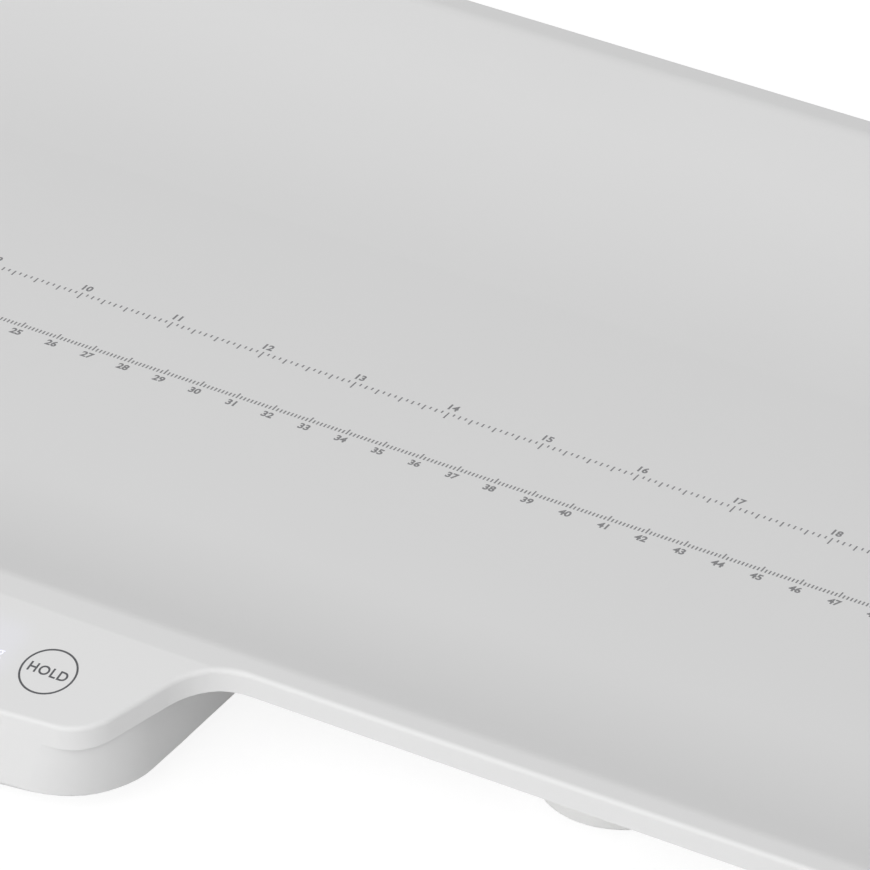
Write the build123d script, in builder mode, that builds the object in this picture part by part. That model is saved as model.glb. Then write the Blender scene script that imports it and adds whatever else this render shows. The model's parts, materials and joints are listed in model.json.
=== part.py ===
"""Digital baby weighing scale: a long cradle-shaped tray on four weighing feet.

Frame: millimetres, X along the tray, -Y towards the key panel at the front, +Z up.
The origin is on the ground, under the middle of the whole scale.
"""
from build123d import *
from math import cos, radians, sin, tan
import os

# ---- overall sizes ----
tray_length = 612.0
tray_depth = 266.5
pod_reach = 32.0            # how far the key panel stands out in front of the tray
tray_corner = 45.0
floor_height = 24.5         # top of the flat tray floor above the ground

# ---- cross-section of the tray ----
front_side_run = 54.5       # from the front edge back to the flat floor
front_arc = 130.0
front_slope = 17.0
front_band = 6.0            # flat-topped rim
back_side_run = 89.0
back_arc = 185.0
back_slope = 19.0
back_band = 7.5
band_slope = 4.0
rim_blend = 7.0             # rounding where a side meets its rim
panel_slope = 14.6
panel_crease = 1.4          # the rim runs this far past the tray edge before the panel
crease_blend = 2.5

# ---- outline of the key panel ----
nose_half = 55.0
nose_bow = 3.0
nose_corner = 13.0
root_flare = 14.0           # the panel is this much wider each side where it leaves the tray
root_blend = 17.0

# ---- moulding thicknesses and clearances ----
shell_wall = 2.5
lip = 1.2                   # edge of the top moulding where the housing carries it
flange_height = 5.8
flange_wall = 2.4
edge_round = 1.2
cover_wall = 2.2
seam = 0.1
seat_gap = 0.15
side_gap = 0.25
root = 0.5                  # ribs, posts and bosses grow out of a wall from this deep
foot_sides = 36             # what repeats is drawn with few sides: round feet and spigots,
boss_sides = 12             # small bosses, recesses and screw heads,
bore_sides = 6              # and the bores and shanks in them

# ---- bottom cover ----
belly_drop = 14.0           # underside of the pan below the tray floor
belly_inset = 26.5          # edge of the pan's underside inside the tray's edge
belly_draft = 30.0
belly_edge = 2.5
housing_flare = 5.2         # the housing is this much wider each side than the panel's nose
housing_back = 84.5         # from the tray's front edge to the back of the housing
housing_clear = 4.5         # housing above the ground
housing_draft = 0.6
housing_corner = 22.0
housing_edge = 1.5

# ---- feet and load cells ----
foot_x = 148.0
foot_r = 19.5
front_foot_margin = 0.4     # from the pan's edge to the foot's rim
back_foot_margin = 6.0
foot_wall = 1.7
foot_bevel = 0.8
foot_travel = 0.6
foot_play = 1.0             # room above the cup's rim
spigot_gap = 0.4
spigot_wall = 2.0
pad_r = 16.2
pad_thick = 1.4
cup_floor = 2.0
post_r = 5.5
post_room = 2.5             # between the post and the hole it passes in the cover
cell_side = 32.0
cell_thick = 1.6
cell_rail = 5.5
cell_corner = 3.0
tongue_wide = 12.0
tongue_bevel = 2.5
cell_seat = 1.5
gauge_long = 9.0
gauge_wide = 5.5
gauge_thick = 0.9
gauge_inset = 3.0           # gauge centre in front of the tongue's root
gauge_bevel = 1.2
clamp_thick = 2.5
clamp_margin = 1.5          # the clamp is this much larger all round than the cell
clamp_inside = 0.5          # and its window this much larger than the cell's
clamp_ear = 6.5             # clamp screws outside the cell's edge
ear_wide = 9.0
clamp_boss_r = 3.4

# ---- display behind the key panel ----
window_long = 54.0
window_wide = 18.0
window_corner = 1.5
window_skin = 0.9           # plastic left in front of the display
diffuser_thick = 0.3
diffuser_gap = 0.7
display_margin = 1.8        # display smaller than its pocket, each side
display_thick = 6.0
display_edge = 0.4
digits = 4
digit_pitch = 11.2
digit_wide = 8.0
digit_high = 11.5
well_deep = 1.5

# ---- key board ----
key_x = 37.6
board_wide = 19.0
board_thick = 1.6
board_corner = 3.0
board_post_out = 6.4        # board screws outside the keys' centres
board_post_y = 7.0
board_post_r = 2.4
board_end = 3.5             # board past its screws
touch_coil_r = 4.6
touch_wire = 0.7
touch_turns = 3
coil_steps = 10             # straight runs in each turn of a coil
wire_sides = 4
chip_x = -14.0
chip_side = 10.0
chip_thick = 1.4
buzzer_x = 30.0
buzzer_r = 6.0
buzzer_high = 4.5
socket_places = (-34.0, -24.0, -2.0, 8.0, 18.0)
socket_y = 6.0
socket_long = 7.0
socket_wide = 4.2
socket_high = 4.8
socket_wall = 0.7
socket_deep = 3.6

# ---- battery bay ----
cell_r = 5.2
cell_sides = 18
cell_long = 43.5
nub_r = 1.9
nub_long = 1.0
cell_gap = 0.3
contact_room = 5.0
contact_thick = 0.4
contact_margin = 0.7
spring_wire = 0.6
spring_r = 3.4
spring_taper = 8.0
spring_turns = 3
bay_run = 24.5              # bay centre behind the tray's front edge
bay_wall = 1.6
bay_frame = 2.0             # thickened ring round the door opening
door_thick = 2.0
door_margin = 3.0
door_gap = 0.3
door_corner = 0.8
tab_x = 30.0
tab_wide = 8.0
tab_reach = 2.3
tab_thick = 1.2
tab_set = 0.2               # riser behind the door's front edge
tab_gap = 0.6
latch_wide = 14.0
latch_high = 4.0
latch_thick = 1.0
latch_set = 0.9             # leaf in front of the door's back edge, to clear it as it swings
latch_room = 1.0
scoop_r = 9.0
scoop_deep = 1.0
grip_long = 22.0
grip_wide = 0.8
grip_pitch = 2.4
grip_lines = 5
grip_deep = 0.4
grip_run = 9.0              # middle of the grip lines in front of the door's back edge

# ---- unit button ----
button_x = 36.0
button_run = 60.0           # behind the tray's front edge
button_r = 3.3
button_stand = 0.6          # out of its dish
button_edge = 0.4
button_flange = 1.3
button_nub = 1.0
nub_margin = 0.3            # the nub is this much wider than the switch's plunger
button_travel = 0.6
button_gap = 0.2
dish_margin = 2.5
dish_deep = 0.5
switch_side = 6.0
switch_high = 3.5
switch_lid = 0.8
plunger_r = 1.7
plunger_high = 2.0
small_board_long = 26.0
small_board_wide = 14.0
small_board_corner = 1.5
small_post_x = 9.5

# ---- screws ----
screw_r = 1.4
screw_gap = 0.15
pilot_gap = 0.05
pilot_spare = 0.5           # pilot bores run this far past their screws
head_r = 2.8
head_thick = 1.6
head_gap = 0.5
boss_r = 4.0
boss_deep = 6.0             # bosses hang this far below the tray's underside
recess_wall = 2.2
recess_deep = 2.5
shell_bite = 4.0            # thread in the boss
clamp_bite = 3.5
foot_bite = 6.0
screw_inner = 53.0          # inner shell screws inboard of the feet
screw_end = 44.0            # outer shell screws from the tray's ends
screw_front = 57.0          # rows of shell screws from the front and back edges
screw_back = 68.0
small_screw_r = 0.9
small_head_r = 1.8
small_head_thick = 1.2
small_screw_long = 4.5

# ---- ribs under the tray ----
rib_thick = 1.6
rib_deep = 4.5
rib_rows = 2
rib_room = 9.0              # the long ribs stay this far from the load cells' clamps
rib_back = 32.0             # cross ribs end this far in front of the back edge
rib_end = 28.0              # long ribs end this far from the tray's ends
rib_middle = 45.0           # middle pair of cross ribs from the centre line
rib_outer = 52.0            # outer pair of cross ribs outboard of the feet

# ---- places worked out from the sizes ----
total_depth = tray_depth + pod_reach
tray_back = total_depth / 2
tray_front = tray_back - tray_depth
tray_middle = (tray_front + tray_back) / 2
pod_front = -total_depth / 2
far = tray_length + total_depth

flat_front = tray_front + front_side_run
flat_back = tray_back - back_side_run
front_arc_end = (flat_front - front_arc * sin(radians(front_slope)),
                 front_arc * (1 - cos(radians(front_slope))))
back_arc_end = (flat_back + back_arc * sin(radians(back_slope)),
                back_arc * (1 - cos(radians(back_slope))))
front_soft = tray_front + front_band
back_soft = tray_back - back_band
front_rise = front_arc_end[1] + (front_arc_end[0] - front_soft) * tan(radians(front_slope))
back_rise = back_arc_end[1] + (back_soft - back_arc_end[0]) * tan(radians(back_slope))
crease = tray_front - panel_crease
crease_rise = front_rise - (front_soft - crease) * tan(radians(band_slope))
panel_top = floor_height + front_rise
sky = floor_height + 2 * back_rise

panel_mid = (pod_front + crease) / 2
panel_mid_z = floor_height + crease_rise - (crease - panel_mid) * tan(radians(panel_slope))
panel_plane = Plane(
    origin=(0, panel_mid, panel_mid_z),
    x_dir=(1, 0, 0),
    z_dir=(0, -sin(radians(panel_slope)), cos(radians(panel_slope))),
)
panel_under = -shell_wall * cos(radians(panel_slope))
board_top = -window_skin - diffuser_thick - 2 * seam - display_thick
board_plane = panel_plane.offset(board_top)
under_board = panel_plane.offset(board_top - board_thick)
board_post_x = key_x + board_post_out
board_posts = [(sx * board_post_x, sy * board_post_y) for sx in (-1, 1) for sy in (-1, 1)]
display_long = window_long - 2 * display_margin
display_wide = window_wide - 2 * display_margin

belly_height = floor_height - belly_drop
belly_floor = belly_height + cover_wall
housing_half = nose_half + housing_flare
housing_floor = housing_clear + cover_wall
boss_joint = floor_height - shell_wall - boss_deep
front_foot_y = tray_front + belly_inset + front_foot_margin + foot_r
back_foot_y = tray_back - belly_inset - back_foot_margin - foot_r
foot_points = {
    "front_left": (-foot_x, front_foot_y),
    "front_right": (foot_x, front_foot_y),
    "back_left": (-foot_x, back_foot_y),
    "back_right": (foot_x, back_foot_y),
}
foot_spots = list(foot_points.values())
inner_screw_x = foot_x - screw_inner
outer_screw_x = tray_length / 2 - screw_end
screw_points = [
    (side * x, y)
    for x in (inner_screw_x, outer_screw_x)
    for side in (-1, 1)
    for y in (tray_front + screw_front, tray_back - screw_back)
]
screw_seat = belly_height + recess_deep

bay_y = tray_front + bay_run
bay_long = 2 * (cell_long + nub_long) + 2 * contact_room
bay_wide = 4 * cell_r + 3 * cell_gap
cell_z = housing_clear + door_thick + seat_gap + cell_gap + cell_r
bay_ceiling = cell_z + cell_r + cell_gap
opening_half = bay_long / 2 + door_margin
opening_front = bay_y - bay_wide / 2 - door_margin
opening_back = bay_y + bay_wide / 2 + door_margin
door_top = housing_clear + door_thick
plate_front = opening_front + door_gap
plate_back = opening_back - door_gap
hinge_y = plate_front + door_thick / 2
hinge_z = housing_clear + door_thick / 2

cup_floor_top = pad_thick + cup_floor
spigot_r = foot_r - foot_wall - spigot_gap
spigot_foot = cup_floor_top + foot_travel + spigot_gap
cell_under = belly_floor + cell_seat
cell_top = cell_under + cell_thick
cell_hole = cell_side - 2 * cell_rail
post_top = cell_under - foot_travel - seam
clamp_reach = cell_side / 2 + clamp_ear
clamp_half = cell_side / 2 + clamp_margin
clamp_spots = [(x + side * clamp_reach, y) for x, y in foot_spots for side in (-1, 1)]

button_y = tray_front + button_run
dish_top = housing_clear + dish_deep
flange_z = housing_floor + button_gap
nub_z = flange_z + button_flange
plunger_z = nub_z + button_nub
switch_z = plunger_z + button_travel + seam
small_board_z = switch_z + switch_high
small_posts = [(button_x + side * small_post_x, button_y) for side in (-1, 1)]


# ---- shared outlines and spaces ----
def tray_section(drop):
    """Everything under the tray's top surface, with that surface lowered by drop."""
    level = floor_height - drop
    panel_end = pod_front - belly_height
    back_end = tray_back + belly_height
    panel_low = crease_rise - (crease - panel_end) * tan(radians(panel_slope))
    back_low = back_rise - (back_end - back_soft) * tan(radians(band_slope))
    with BuildSketch(Plane.YZ) as section:
        with BuildLine():
            Polyline(
                (back_end, level + back_low),
                (back_end, -far),
                (panel_end, -far),
                (panel_end, level + panel_low),
                (crease, level + crease_rise),
                (front_soft, level + front_rise),
                (front_arc_end[0], level + front_arc_end[1]),
            )
            TangentArc(
                (flat_front, level),
                (front_arc_end[0], level + front_arc_end[1]),
                tangent=(-1, 0),
            )
            Line((flat_front, level), (flat_back, level))
            TangentArc(
                (flat_back, level),
                (back_arc_end[0], level + back_arc_end[1]),
                tangent=(1, 0),
            )
            Polyline(
                (back_arc_end[0], level + back_arc_end[1]),
                (back_soft, level + back_rise),
                (back_end, level + back_low),
            )
        make_face()
        for y, rise, blend in (
            (crease, crease_rise, crease_blend),
            (front_soft, front_rise, rim_blend),
            (back_soft, back_rise, rim_blend),
        ):
            fillet(section.vertices().sort_by_distance((y, level + rise, 0))[:1], blend)
    return section.sketch


def tray_outline(inset=0.0):
    """The tray and its key panel seen from above."""
    root_half = nose_half + root_flare
    nose_y = pod_front + nose_bow
    with BuildSketch() as outline:
        with Locations((0, tray_middle)):
            RectangleRounded(tray_length, tray_depth, tray_corner)
        with BuildLine():
            ThreePointArc((-nose_half, nose_y), (0, pod_front), (nose_half, nose_y))
            Polyline(
                (nose_half, nose_y),
                (root_half, tray_front),
                (root_half, front_soft),
                (-root_half, front_soft),
                (-root_half, tray_front),
                (-nose_half, nose_y),
            )
        make_face()
        fillet(outline.vertices().group_by(Axis.Y)[0], nose_corner)
        roots = [
            outline.vertices().sort_by_distance((side * root_half, tray_front, 0))[0]
            for side in (-1, 1)
        ]
        fillet(roots, root_blend)
        if inset:
            offset(amount=-inset, kind=Kind.INTERSECTION)
    return outline.sketch


def housing_outline(half, corner, inset=0.0):
    """The electronics housing seen from above."""
    front = pod_front + seam + inset
    back = tray_front + housing_back - inset
    side = half - inset
    bow = nose_bow * (side / nose_half) ** 2
    with BuildSketch(Plane.XY) as outline:
        with BuildLine():
            ThreePointArc((-side, front + bow), (0, front), (side, front + bow))
            Polyline((side, front + bow), (side, back), (-side, back), (-side, front + bow))
        make_face()
        fillet(outline.vertices(), corner - inset)
    return outline.sketch


def housing_block():
    """Housing up to the panel, a little narrower and rounder below."""
    with BuildPart() as block:
        with BuildSketch(Plane.XY.offset(housing_clear)):
            add(housing_outline(housing_half - housing_draft, housing_corner))
        with BuildSketch(Plane.XY.offset(panel_top)):
            add(housing_outline(housing_half, nose_corner))
        loft()
        chamfer(block.faces().sort_by(Axis.Z)[0].edges(), housing_edge)
    return block.part


def housing_space():
    """The straight-sided inside of the housing."""
    with BuildPart() as block:
        with BuildSketch(Plane.XY.offset(housing_floor)):
            add(housing_outline(housing_half - housing_draft, housing_corner, cover_wall))
        extrude(amount=panel_top - housing_floor)
    return block.part


def belly_block(wall=0.0):
    """Shallow pan under the tray, widening upwards; wall gives its inside."""
    draft = radians(belly_draft)
    inset = belly_inset + wall / cos(draft) - wall * tan(draft)
    with BuildPart() as block:
        with BuildSketch(Plane.XY.offset(belly_height + wall)):
            with Locations((0, tray_middle)):
                RectangleRounded(
                    tray_length - 2 * inset, tray_depth - 2 * inset, tray_corner - inset
                )
        extrude(amount=floor_height + back_rise - belly_height, taper=-belly_draft)
        if not wall:
            chamfer(block.faces().sort_by(Axis.Z)[0].edges(), belly_edge)
    return block.part


def under_tray(plan, drop):
    """The space below the lowered tray surface, within a plan."""
    with BuildPart() as space:
        extrude(tray_section(drop), amount=far, both=True)
        with BuildSketch(Plane.XY.offset(-belly_height)):
            add(plan)
        extrude(amount=sky + belly_height, mode=Mode.INTERSECT)
    return space.part


def over_tray(plan, drop):
    """The space above the lowered tray surface, within a plan."""
    with BuildPart() as space:
        with BuildSketch(Plane.XY):
            add(plan)
        extrude(amount=sky)
        extrude(tray_section(drop), amount=far, both=True, mode=Mode.SUBTRACT)
    return space.part


full_plan = tray_outline()
inner_plan = tray_outline(flange_wall)
clear_plan = tray_outline(flange_wall - side_gap)
housing_plan = housing_outline(housing_half, nose_corner)
with BuildSketch() as nose_ring:
    add(housing_plan)
    add(inner_plan, mode=Mode.SUBTRACT)
with BuildSketch() as flange_zone:
    add(full_plan)
    add(clear_plan, mode=Mode.SUBTRACT)
    add(housing_plan, mode=Mode.SUBTRACT)

# ---- top moulding: the tray, its rim, the flange and the key panel ----
with BuildPart() as top_shell:
    with BuildSketch():
        add(full_plan)
    extrude(amount=sky)
    extrude(tray_section(0), amount=far, both=True, mode=Mode.INTERSECT)
    edge_line = full_plan.wires()[0]
    rim = [
        edge
        for edge in top_shell.edges()
        if (edge @ 0.5).Z > belly_height
        and abs((edge % 0.5).Z) < 0.9
        and edge_line.distance_to(Vertex((edge @ 0.5).X, (edge @ 0.5).Y, 0)) < seam
    ]
    fillet(rim, edge_round)
    add(under_tray(full_plan, flange_height), mode=Mode.SUBTRACT)
    add(under_tray(inner_plan, shell_wall), mode=Mode.SUBTRACT)
    add(under_tray(nose_ring.sketch, lip), mode=Mode.SUBTRACT)

    # display pocket and board posts, square to the sloping panel
    with BuildSketch(panel_plane.offset(-window_skin)):
        RectangleRounded(window_long, window_wide, window_corner)
    extrude(amount=-shell_wall, mode=Mode.SUBTRACT)
    with BuildSketch(board_plane):
        with Locations(*board_posts):
            RegularPolygon(board_post_r, boss_sides)
    extrude(amount=panel_under + root - board_top)
    with BuildSketch(board_plane):
        with Locations(*board_posts):
            RegularPolygon(small_screw_r + pilot_gap, bore_sides, major_radius=False)
    extrude(amount=small_screw_long - board_thick + pilot_spare, mode=Mode.SUBTRACT)

    # stiffening ribs and screw bosses hang from the tray's underside
    with BuildPart(mode=Mode.PRIVATE) as ribs:
        rib_x = tray_length / 2 - rib_end
        first_row = front_foot_y + clamp_half + rib_room
        last_row = back_foot_y - clamp_half - rib_room
        rib_step = (last_row - first_row) / (rib_rows - 1)
        cross_end = tray_back - rib_back
        with BuildSketch(Plane.XY.offset(floor_height - shell_wall - rib_deep)):
            with Locations(*[(0, first_row + row * rib_step) for row in range(rib_rows)]):
                Rectangle(2 * rib_x, rib_thick)
            for column in (rib_middle, inner_screw_x, foot_x + rib_outer, outer_screw_x):
                for side in (-1, 1):
                    with Locations((side * column, (first_row + cross_end) / 2)):
                        Rectangle(rib_thick, cross_end - first_row)
        extrude(amount=sky)
        with BuildSketch(Plane.XY.offset(boss_joint)):
            with Locations(*screw_points):
                RegularPolygon(boss_r, boss_sides)
        extrude(amount=sky)
        extrude(tray_section(shell_wall - root), amount=far, both=True, mode=Mode.INTERSECT)
    add(ribs.part)
    with BuildSketch(Plane.XY.offset(boss_joint)):
        with Locations(*screw_points):
            RegularPolygon(screw_r + pilot_gap, bore_sides, major_radius=False)
    extrude(amount=shell_bite + pilot_spare, mode=Mode.SUBTRACT)

# ---- bottom moulding: belly pan, electronics housing and everything moulded with it ----
seat_step = (cell_side - cell_rail) / 2
seat_spots = [
    (x + sx * seat_step, y + sy * seat_step)
    for x, y in foot_spots
    for sx in (-1, 1)
    for sy in (-1, 1)
]

with BuildPart() as bottom_cover:
    add(belly_block())
    add(housing_block())
    add(belly_block(cover_wall), mode=Mode.SUBTRACT)
    add(housing_space(), mode=Mode.SUBTRACT)
    extrude(tray_section(lip + seam), amount=far, both=True, mode=Mode.INTERSECT)
    add(over_tray(clear_plan, shell_wall + seat_gap), mode=Mode.SUBTRACT)
    add(over_tray(flange_zone.sketch, flange_height + seat_gap), mode=Mode.SUBTRACT)

    # spigots that the feet slide on, with the load-cell seats above them
    with BuildSketch(Plane.XY.offset(spigot_foot)):
        with Locations(*foot_spots):
            RegularPolygon(spigot_r, foot_sides)
            RegularPolygon(spigot_r - spigot_wall, foot_sides, mode=Mode.SUBTRACT)
    extrude(amount=belly_floor - root - spigot_foot)
    with BuildSketch(Plane.XY):
        with Locations(*foot_spots):
            RegularPolygon(post_r + post_room, boss_sides, major_radius=False)
    extrude(amount=cell_under, mode=Mode.SUBTRACT)
    with BuildSketch(Plane.XY.offset(belly_floor)):
        with Locations(*seat_spots):
            Rectangle(cell_rail, cell_rail)
    extrude(amount=cell_seat)
    with BuildSketch(Plane.XY.offset(belly_floor)):
        with Locations(*clamp_spots):
            RegularPolygon(clamp_boss_r, boss_sides)
    extrude(amount=cell_top - belly_floor)
    with BuildSketch(Plane.XY.offset(cell_top)):
        with Locations(*clamp_spots):
            RegularPolygon(screw_r + pilot_gap, bore_sides, major_radius=False)
    extrude(amount=-clamp_bite - pilot_spare, mode=Mode.SUBTRACT)

    # posts and recesses for the screws that hold the two mouldings together
    with BuildSketch(Plane.XY.offset(belly_height)):
        with Locations(*screw_points):
            RegularPolygon(head_r + head_gap + recess_wall, boss_sides)
    extrude(amount=boss_joint - seam - belly_height)
    with BuildSketch(Plane.XY):
        with Locations(*screw_points):
            RegularPolygon(head_r + head_gap, boss_sides, major_radius=False)
    extrude(amount=screw_seat, mode=Mode.SUBTRACT)
    with BuildSketch(Plane.XY):
        with Locations(*screw_points):
            RegularPolygon(screw_r + screw_gap, bore_sides, major_radius=False)
    extrude(amount=boss_joint, mode=Mode.SUBTRACT)

    # battery bay with its ledge, door opening, tab slots and latch notch
    opening_wide = opening_back - opening_front
    with BuildSketch(Plane.XY.offset(housing_floor - root)):
        with Locations((0, bay_y)):
            Rectangle(2 * (opening_half + bay_frame), opening_wide + 2 * bay_frame)
    extrude(amount=bay_wall + root)
    with BuildSketch(Plane.XY.offset(housing_floor)):
        with Locations((0, bay_y)):
            Rectangle(bay_long + 2 * bay_wall, bay_wide + 2 * bay_wall)
    extrude(amount=bay_ceiling + bay_wall - housing_floor)
    with BuildSketch(Plane.XY):
        with Locations((0, bay_y)):
            Rectangle(bay_long, bay_wide)
    extrude(amount=bay_ceiling, mode=Mode.SUBTRACT)
    with BuildSketch(Plane.XY):
        with Locations((0, bay_y)):
            Rectangle(2 * opening_half, opening_wide)
    extrude(amount=housing_floor, mode=Mode.SUBTRACT)
    with BuildSketch(Plane.XY.offset(housing_floor)):
        slot_front = plate_front - tab_reach - tab_gap
        for side in (-1, 1):
            with Locations((side * tab_x, slot_front)):
                Rectangle(
                    tab_wide + 2 * tab_gap,
                    bay_y - slot_front,
                    align=(Align.CENTER, Align.MIN),
                )
        with Locations((0, opening_back)):
            Rectangle(latch_wide + 2 * tab_gap, 2 * door_margin)
    extrude(amount=latch_high + latch_room, mode=Mode.SUBTRACT)
    with BuildSketch(Plane.XY):
        with Locations((0, opening_back)):
            Circle(scoop_r)
    extrude(amount=housing_clear + scoop_deep, mode=Mode.SUBTRACT)

    # unit button hole in a shallow dish, and the posts of its board
    with BuildSketch(Plane.XY):
        with Locations((button_x, button_y)):
            Circle(button_r + dish_margin)
    extrude(amount=dish_top, mode=Mode.SUBTRACT)
    with BuildSketch(Plane.XY):
        with Locations((button_x, button_y)):
            Circle(button_r + button_gap)
    extrude(amount=housing_floor, mode=Mode.SUBTRACT)
    with BuildSketch(Plane.XY.offset(housing_floor - root)):
        with Locations(*small_posts):
            RegularPolygon(board_post_r, boss_sides)
    extrude(amount=small_board_z - housing_floor + root)
    with BuildSketch(Plane.XY.offset(small_board_z)):
        with Locations(*small_posts):
            RegularPolygon(small_screw_r + pilot_gap, bore_sides, major_radius=False)
    extrude(amount=board_thick - small_screw_long - pilot_spare, mode=Mode.SUBTRACT)

# ---- battery door: rocks out on its rounded front edge ----
with BuildPart() as battery_door:
    with BuildSketch(Plane.YZ):
        with Locations((hinge_y, hinge_z)):
            Circle(door_thick / 2)
            Rectangle(plate_back - hinge_y, door_thick, align=(Align.MIN, Align.CENTER))
    extrude(amount=opening_half - door_gap, both=True)
    fillet(battery_door.edges().filter_by(Axis.Z).sort_by(Axis.Y)[-2:], door_corner)
    # hook tabs: a riser from the plate's front edge and a toe over the housing floor
    toe_z = housing_floor + seat_gap
    for side in (-1, 1):
        with BuildSketch(Plane.YZ.offset(side * tab_x)):
            Polygon(
                (plate_front + tab_set, hinge_z),
                (plate_front + tab_set + tab_thick, hinge_z),
                (plate_front + tab_set + tab_thick, toe_z + tab_thick),
                (plate_front - tab_reach, toe_z + tab_thick),
                (plate_front - tab_reach, toe_z),
                (plate_front + tab_set, toe_z),
                align=None,
            )
        extrude(amount=tab_wide / 2, both=True)
    # springy latch leaf
    leaf_back = plate_back - latch_set
    with BuildSketch(Plane.YZ):
        Polygon(
            (leaf_back, door_top - root),
            (leaf_back, door_top + latch_high),
            (leaf_back - latch_thick, door_top + latch_high),
            (leaf_back - latch_thick, door_top - root),
            align=None,
        )
    extrude(amount=latch_wide / 2, both=True)
    # grip lines on the outside
    with BuildSketch(Plane.XY.offset(housing_clear)):
        with Locations((0, plate_back - grip_run)):
            with GridLocations(1, grip_pitch, 1, grip_lines):
                Rectangle(grip_long, grip_wide)
    extrude(amount=grip_deep, mode=Mode.SUBTRACT)

# ---- display module, its diffuser and the key board, square to the panel ----
with BuildPart() as display_diffuser:
    with BuildSketch(panel_plane.offset(-window_skin - seam - diffuser_thick)):
        Rectangle(window_long - 2 * diffuser_gap, window_wide - 2 * diffuser_gap)
    extrude(amount=diffuser_thick)

with BuildPart() as led_display:
    with BuildSketch(board_plane):
        Rectangle(display_long, display_wide)
    extrude(amount=display_thick)
    chamfer(led_display.edges().group_by(Axis.Z)[-1], display_edge)
    # light wells of the digits
    with BuildSketch(board_plane.offset(display_thick - well_deep)):
        with GridLocations(digit_pitch, 1, digits, 1):
            Rectangle(digit_wide, digit_high)
    extrude(amount=display_thick, mode=Mode.SUBTRACT)

with BuildPart() as key_board:
    with BuildSketch(under_board) as board_face:
        Rectangle(2 * (board_post_x + board_end), board_wide)
        chamfer(board_face.vertices(), board_corner)
        with Locations(*board_posts):
            RegularPolygon(
                small_screw_r + screw_gap, bore_sides, major_radius=False, mode=Mode.SUBTRACT
            )
    extrude(amount=board_thick)

with BuildPart() as board_chip:
    with BuildSketch(under_board):
        with Locations((chip_x, 0)):
            Rectangle(chip_side, chip_side)
    extrude(amount=-chip_thick)

with BuildPart() as buzzer:
    with BuildSketch(under_board):
        with Locations((buzzer_x, 0)):
            RegularPolygon(buzzer_r, foot_sides)
    extrude(amount=-buzzer_high)

socket_spots = [(x, socket_y) for x in socket_places]
with BuildPart() as lead_sockets:
    with BuildSketch(under_board):
        with Locations(*socket_spots):
            Rectangle(socket_long, socket_wide)
    extrude(amount=-socket_high)
    with BuildSketch(under_board.offset(-socket_high)):
        with Locations(*socket_spots):
            Rectangle(socket_long - 2 * socket_wall, socket_wide - 2 * socket_wall)
    extrude(amount=socket_deep, mode=Mode.SUBTRACT)


def coil_spring(base, height, radius, turns, wire, taper=0.0):
    """Coil of wire standing on a plane, drawn as short straight runs with few sides."""
    with BuildPart() as coil:
        with BuildLine(base, mode=Mode.PRIVATE) as path:
            Helix(
                pitch=height / turns,
                height=height,
                radius=radius,
                direction=base.z_dir,
                cone_angle=-taper,
            )
        runs = turns * coil_steps
        for run in range(runs + 1):
            spot = path.line @ (run / runs)
            ahead = path.line % (run / runs)
            with BuildSketch(Plane(origin=spot, x_dir=base.z_dir, z_dir=ahead)):
                RegularPolygon(wire / 2, wire_sides)
        loft(ruled=True)
    return coil.part


def touch_spring(x):
    """Coil that carries the touch signal from the board to the panel's underside."""
    inset = (touch_wire + seam) / 2
    foot = board_plane.offset(inset)
    base = Plane(origin=foot.from_local_coords((x, 0, 0)), x_dir=foot.x_dir, z_dir=foot.z_dir)
    height = panel_under - board_top - 2 * inset
    return coil_spring(base, height, touch_coil_r, touch_turns, touch_wire)


def screw_group(spots, plane, shank, head, head_high, long):
    """Flat-headed screws whose heads stand on a plane, drawn with few sides."""
    with BuildPart() as group:
        with BuildSketch(plane):
            with Locations(*spots):
                RegularPolygon(head, boss_sides)
        extrude(amount=head_high)
        with BuildSketch(plane):
            with Locations(*spots):
                RegularPolygon(shank, bore_sides)
        extrude(amount=-long)
    return group.part


def facing_down(plane):
    """The same plane looked at from below, with its X direction kept."""
    return Plane(origin=plane.origin, x_dir=plane.x_dir, z_dir=-plane.z_dir)


board_screws = screw_group(
    board_posts, facing_down(under_board),
    small_screw_r, small_head_r, small_head_thick, small_screw_long,
)
shell_screws = screw_group(
    [(x, -y) for x, y in screw_points], facing_down(Plane.XY.offset(screw_seat)),
    screw_r, head_r, head_thick, boss_joint + shell_bite - screw_seat,
)
clamp_screws = screw_group(
    clamp_spots, Plane.XY.offset(cell_top + clamp_thick),
    screw_r, head_r, head_thick, clamp_thick + clamp_bite,
)
unit_board_screws = screw_group(
    small_posts, Plane.XY.offset(small_board_z + board_thick),
    small_screw_r, small_head_r, small_head_thick, small_screw_long,
)


# ---- feet: each is a cup on the cover's spigot, a rubber pad and the screw that keeps it ----
def foot_cup(x, y):
    """Cup with a bevelled floor and a post up to the load cell's tongue."""
    rim_top = belly_height - foot_play
    with BuildPart() as cup:
        with BuildSketch(Plane.XY.offset(pad_thick)):
            with Locations((x, y)):
                RegularPolygon(foot_r, foot_sides)
        extrude(amount=rim_top - pad_thick)
        chamfer(cup.faces().sort_by(Axis.Z)[0].edges(), foot_bevel)
        with BuildSketch(Plane.XY.offset(cup_floor_top)):
            with Locations((x, y)):
                RegularPolygon(foot_r - foot_wall, foot_sides)
        extrude(amount=rim_top, mode=Mode.SUBTRACT)
        with BuildSketch(Plane.XY.offset(cup_floor_top)):
            with Locations((x, y)):
                RegularPolygon(post_r, boss_sides)
        extrude(amount=post_top - cup_floor_top)
        with BuildSketch(Plane.XY.offset(post_top)):
            with Locations((x, y)):
                RegularPolygon(screw_r + pilot_gap, bore_sides, major_radius=False)
        extrude(amount=-foot_bite - pilot_spare, mode=Mode.SUBTRACT)
    return cup.part


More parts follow.
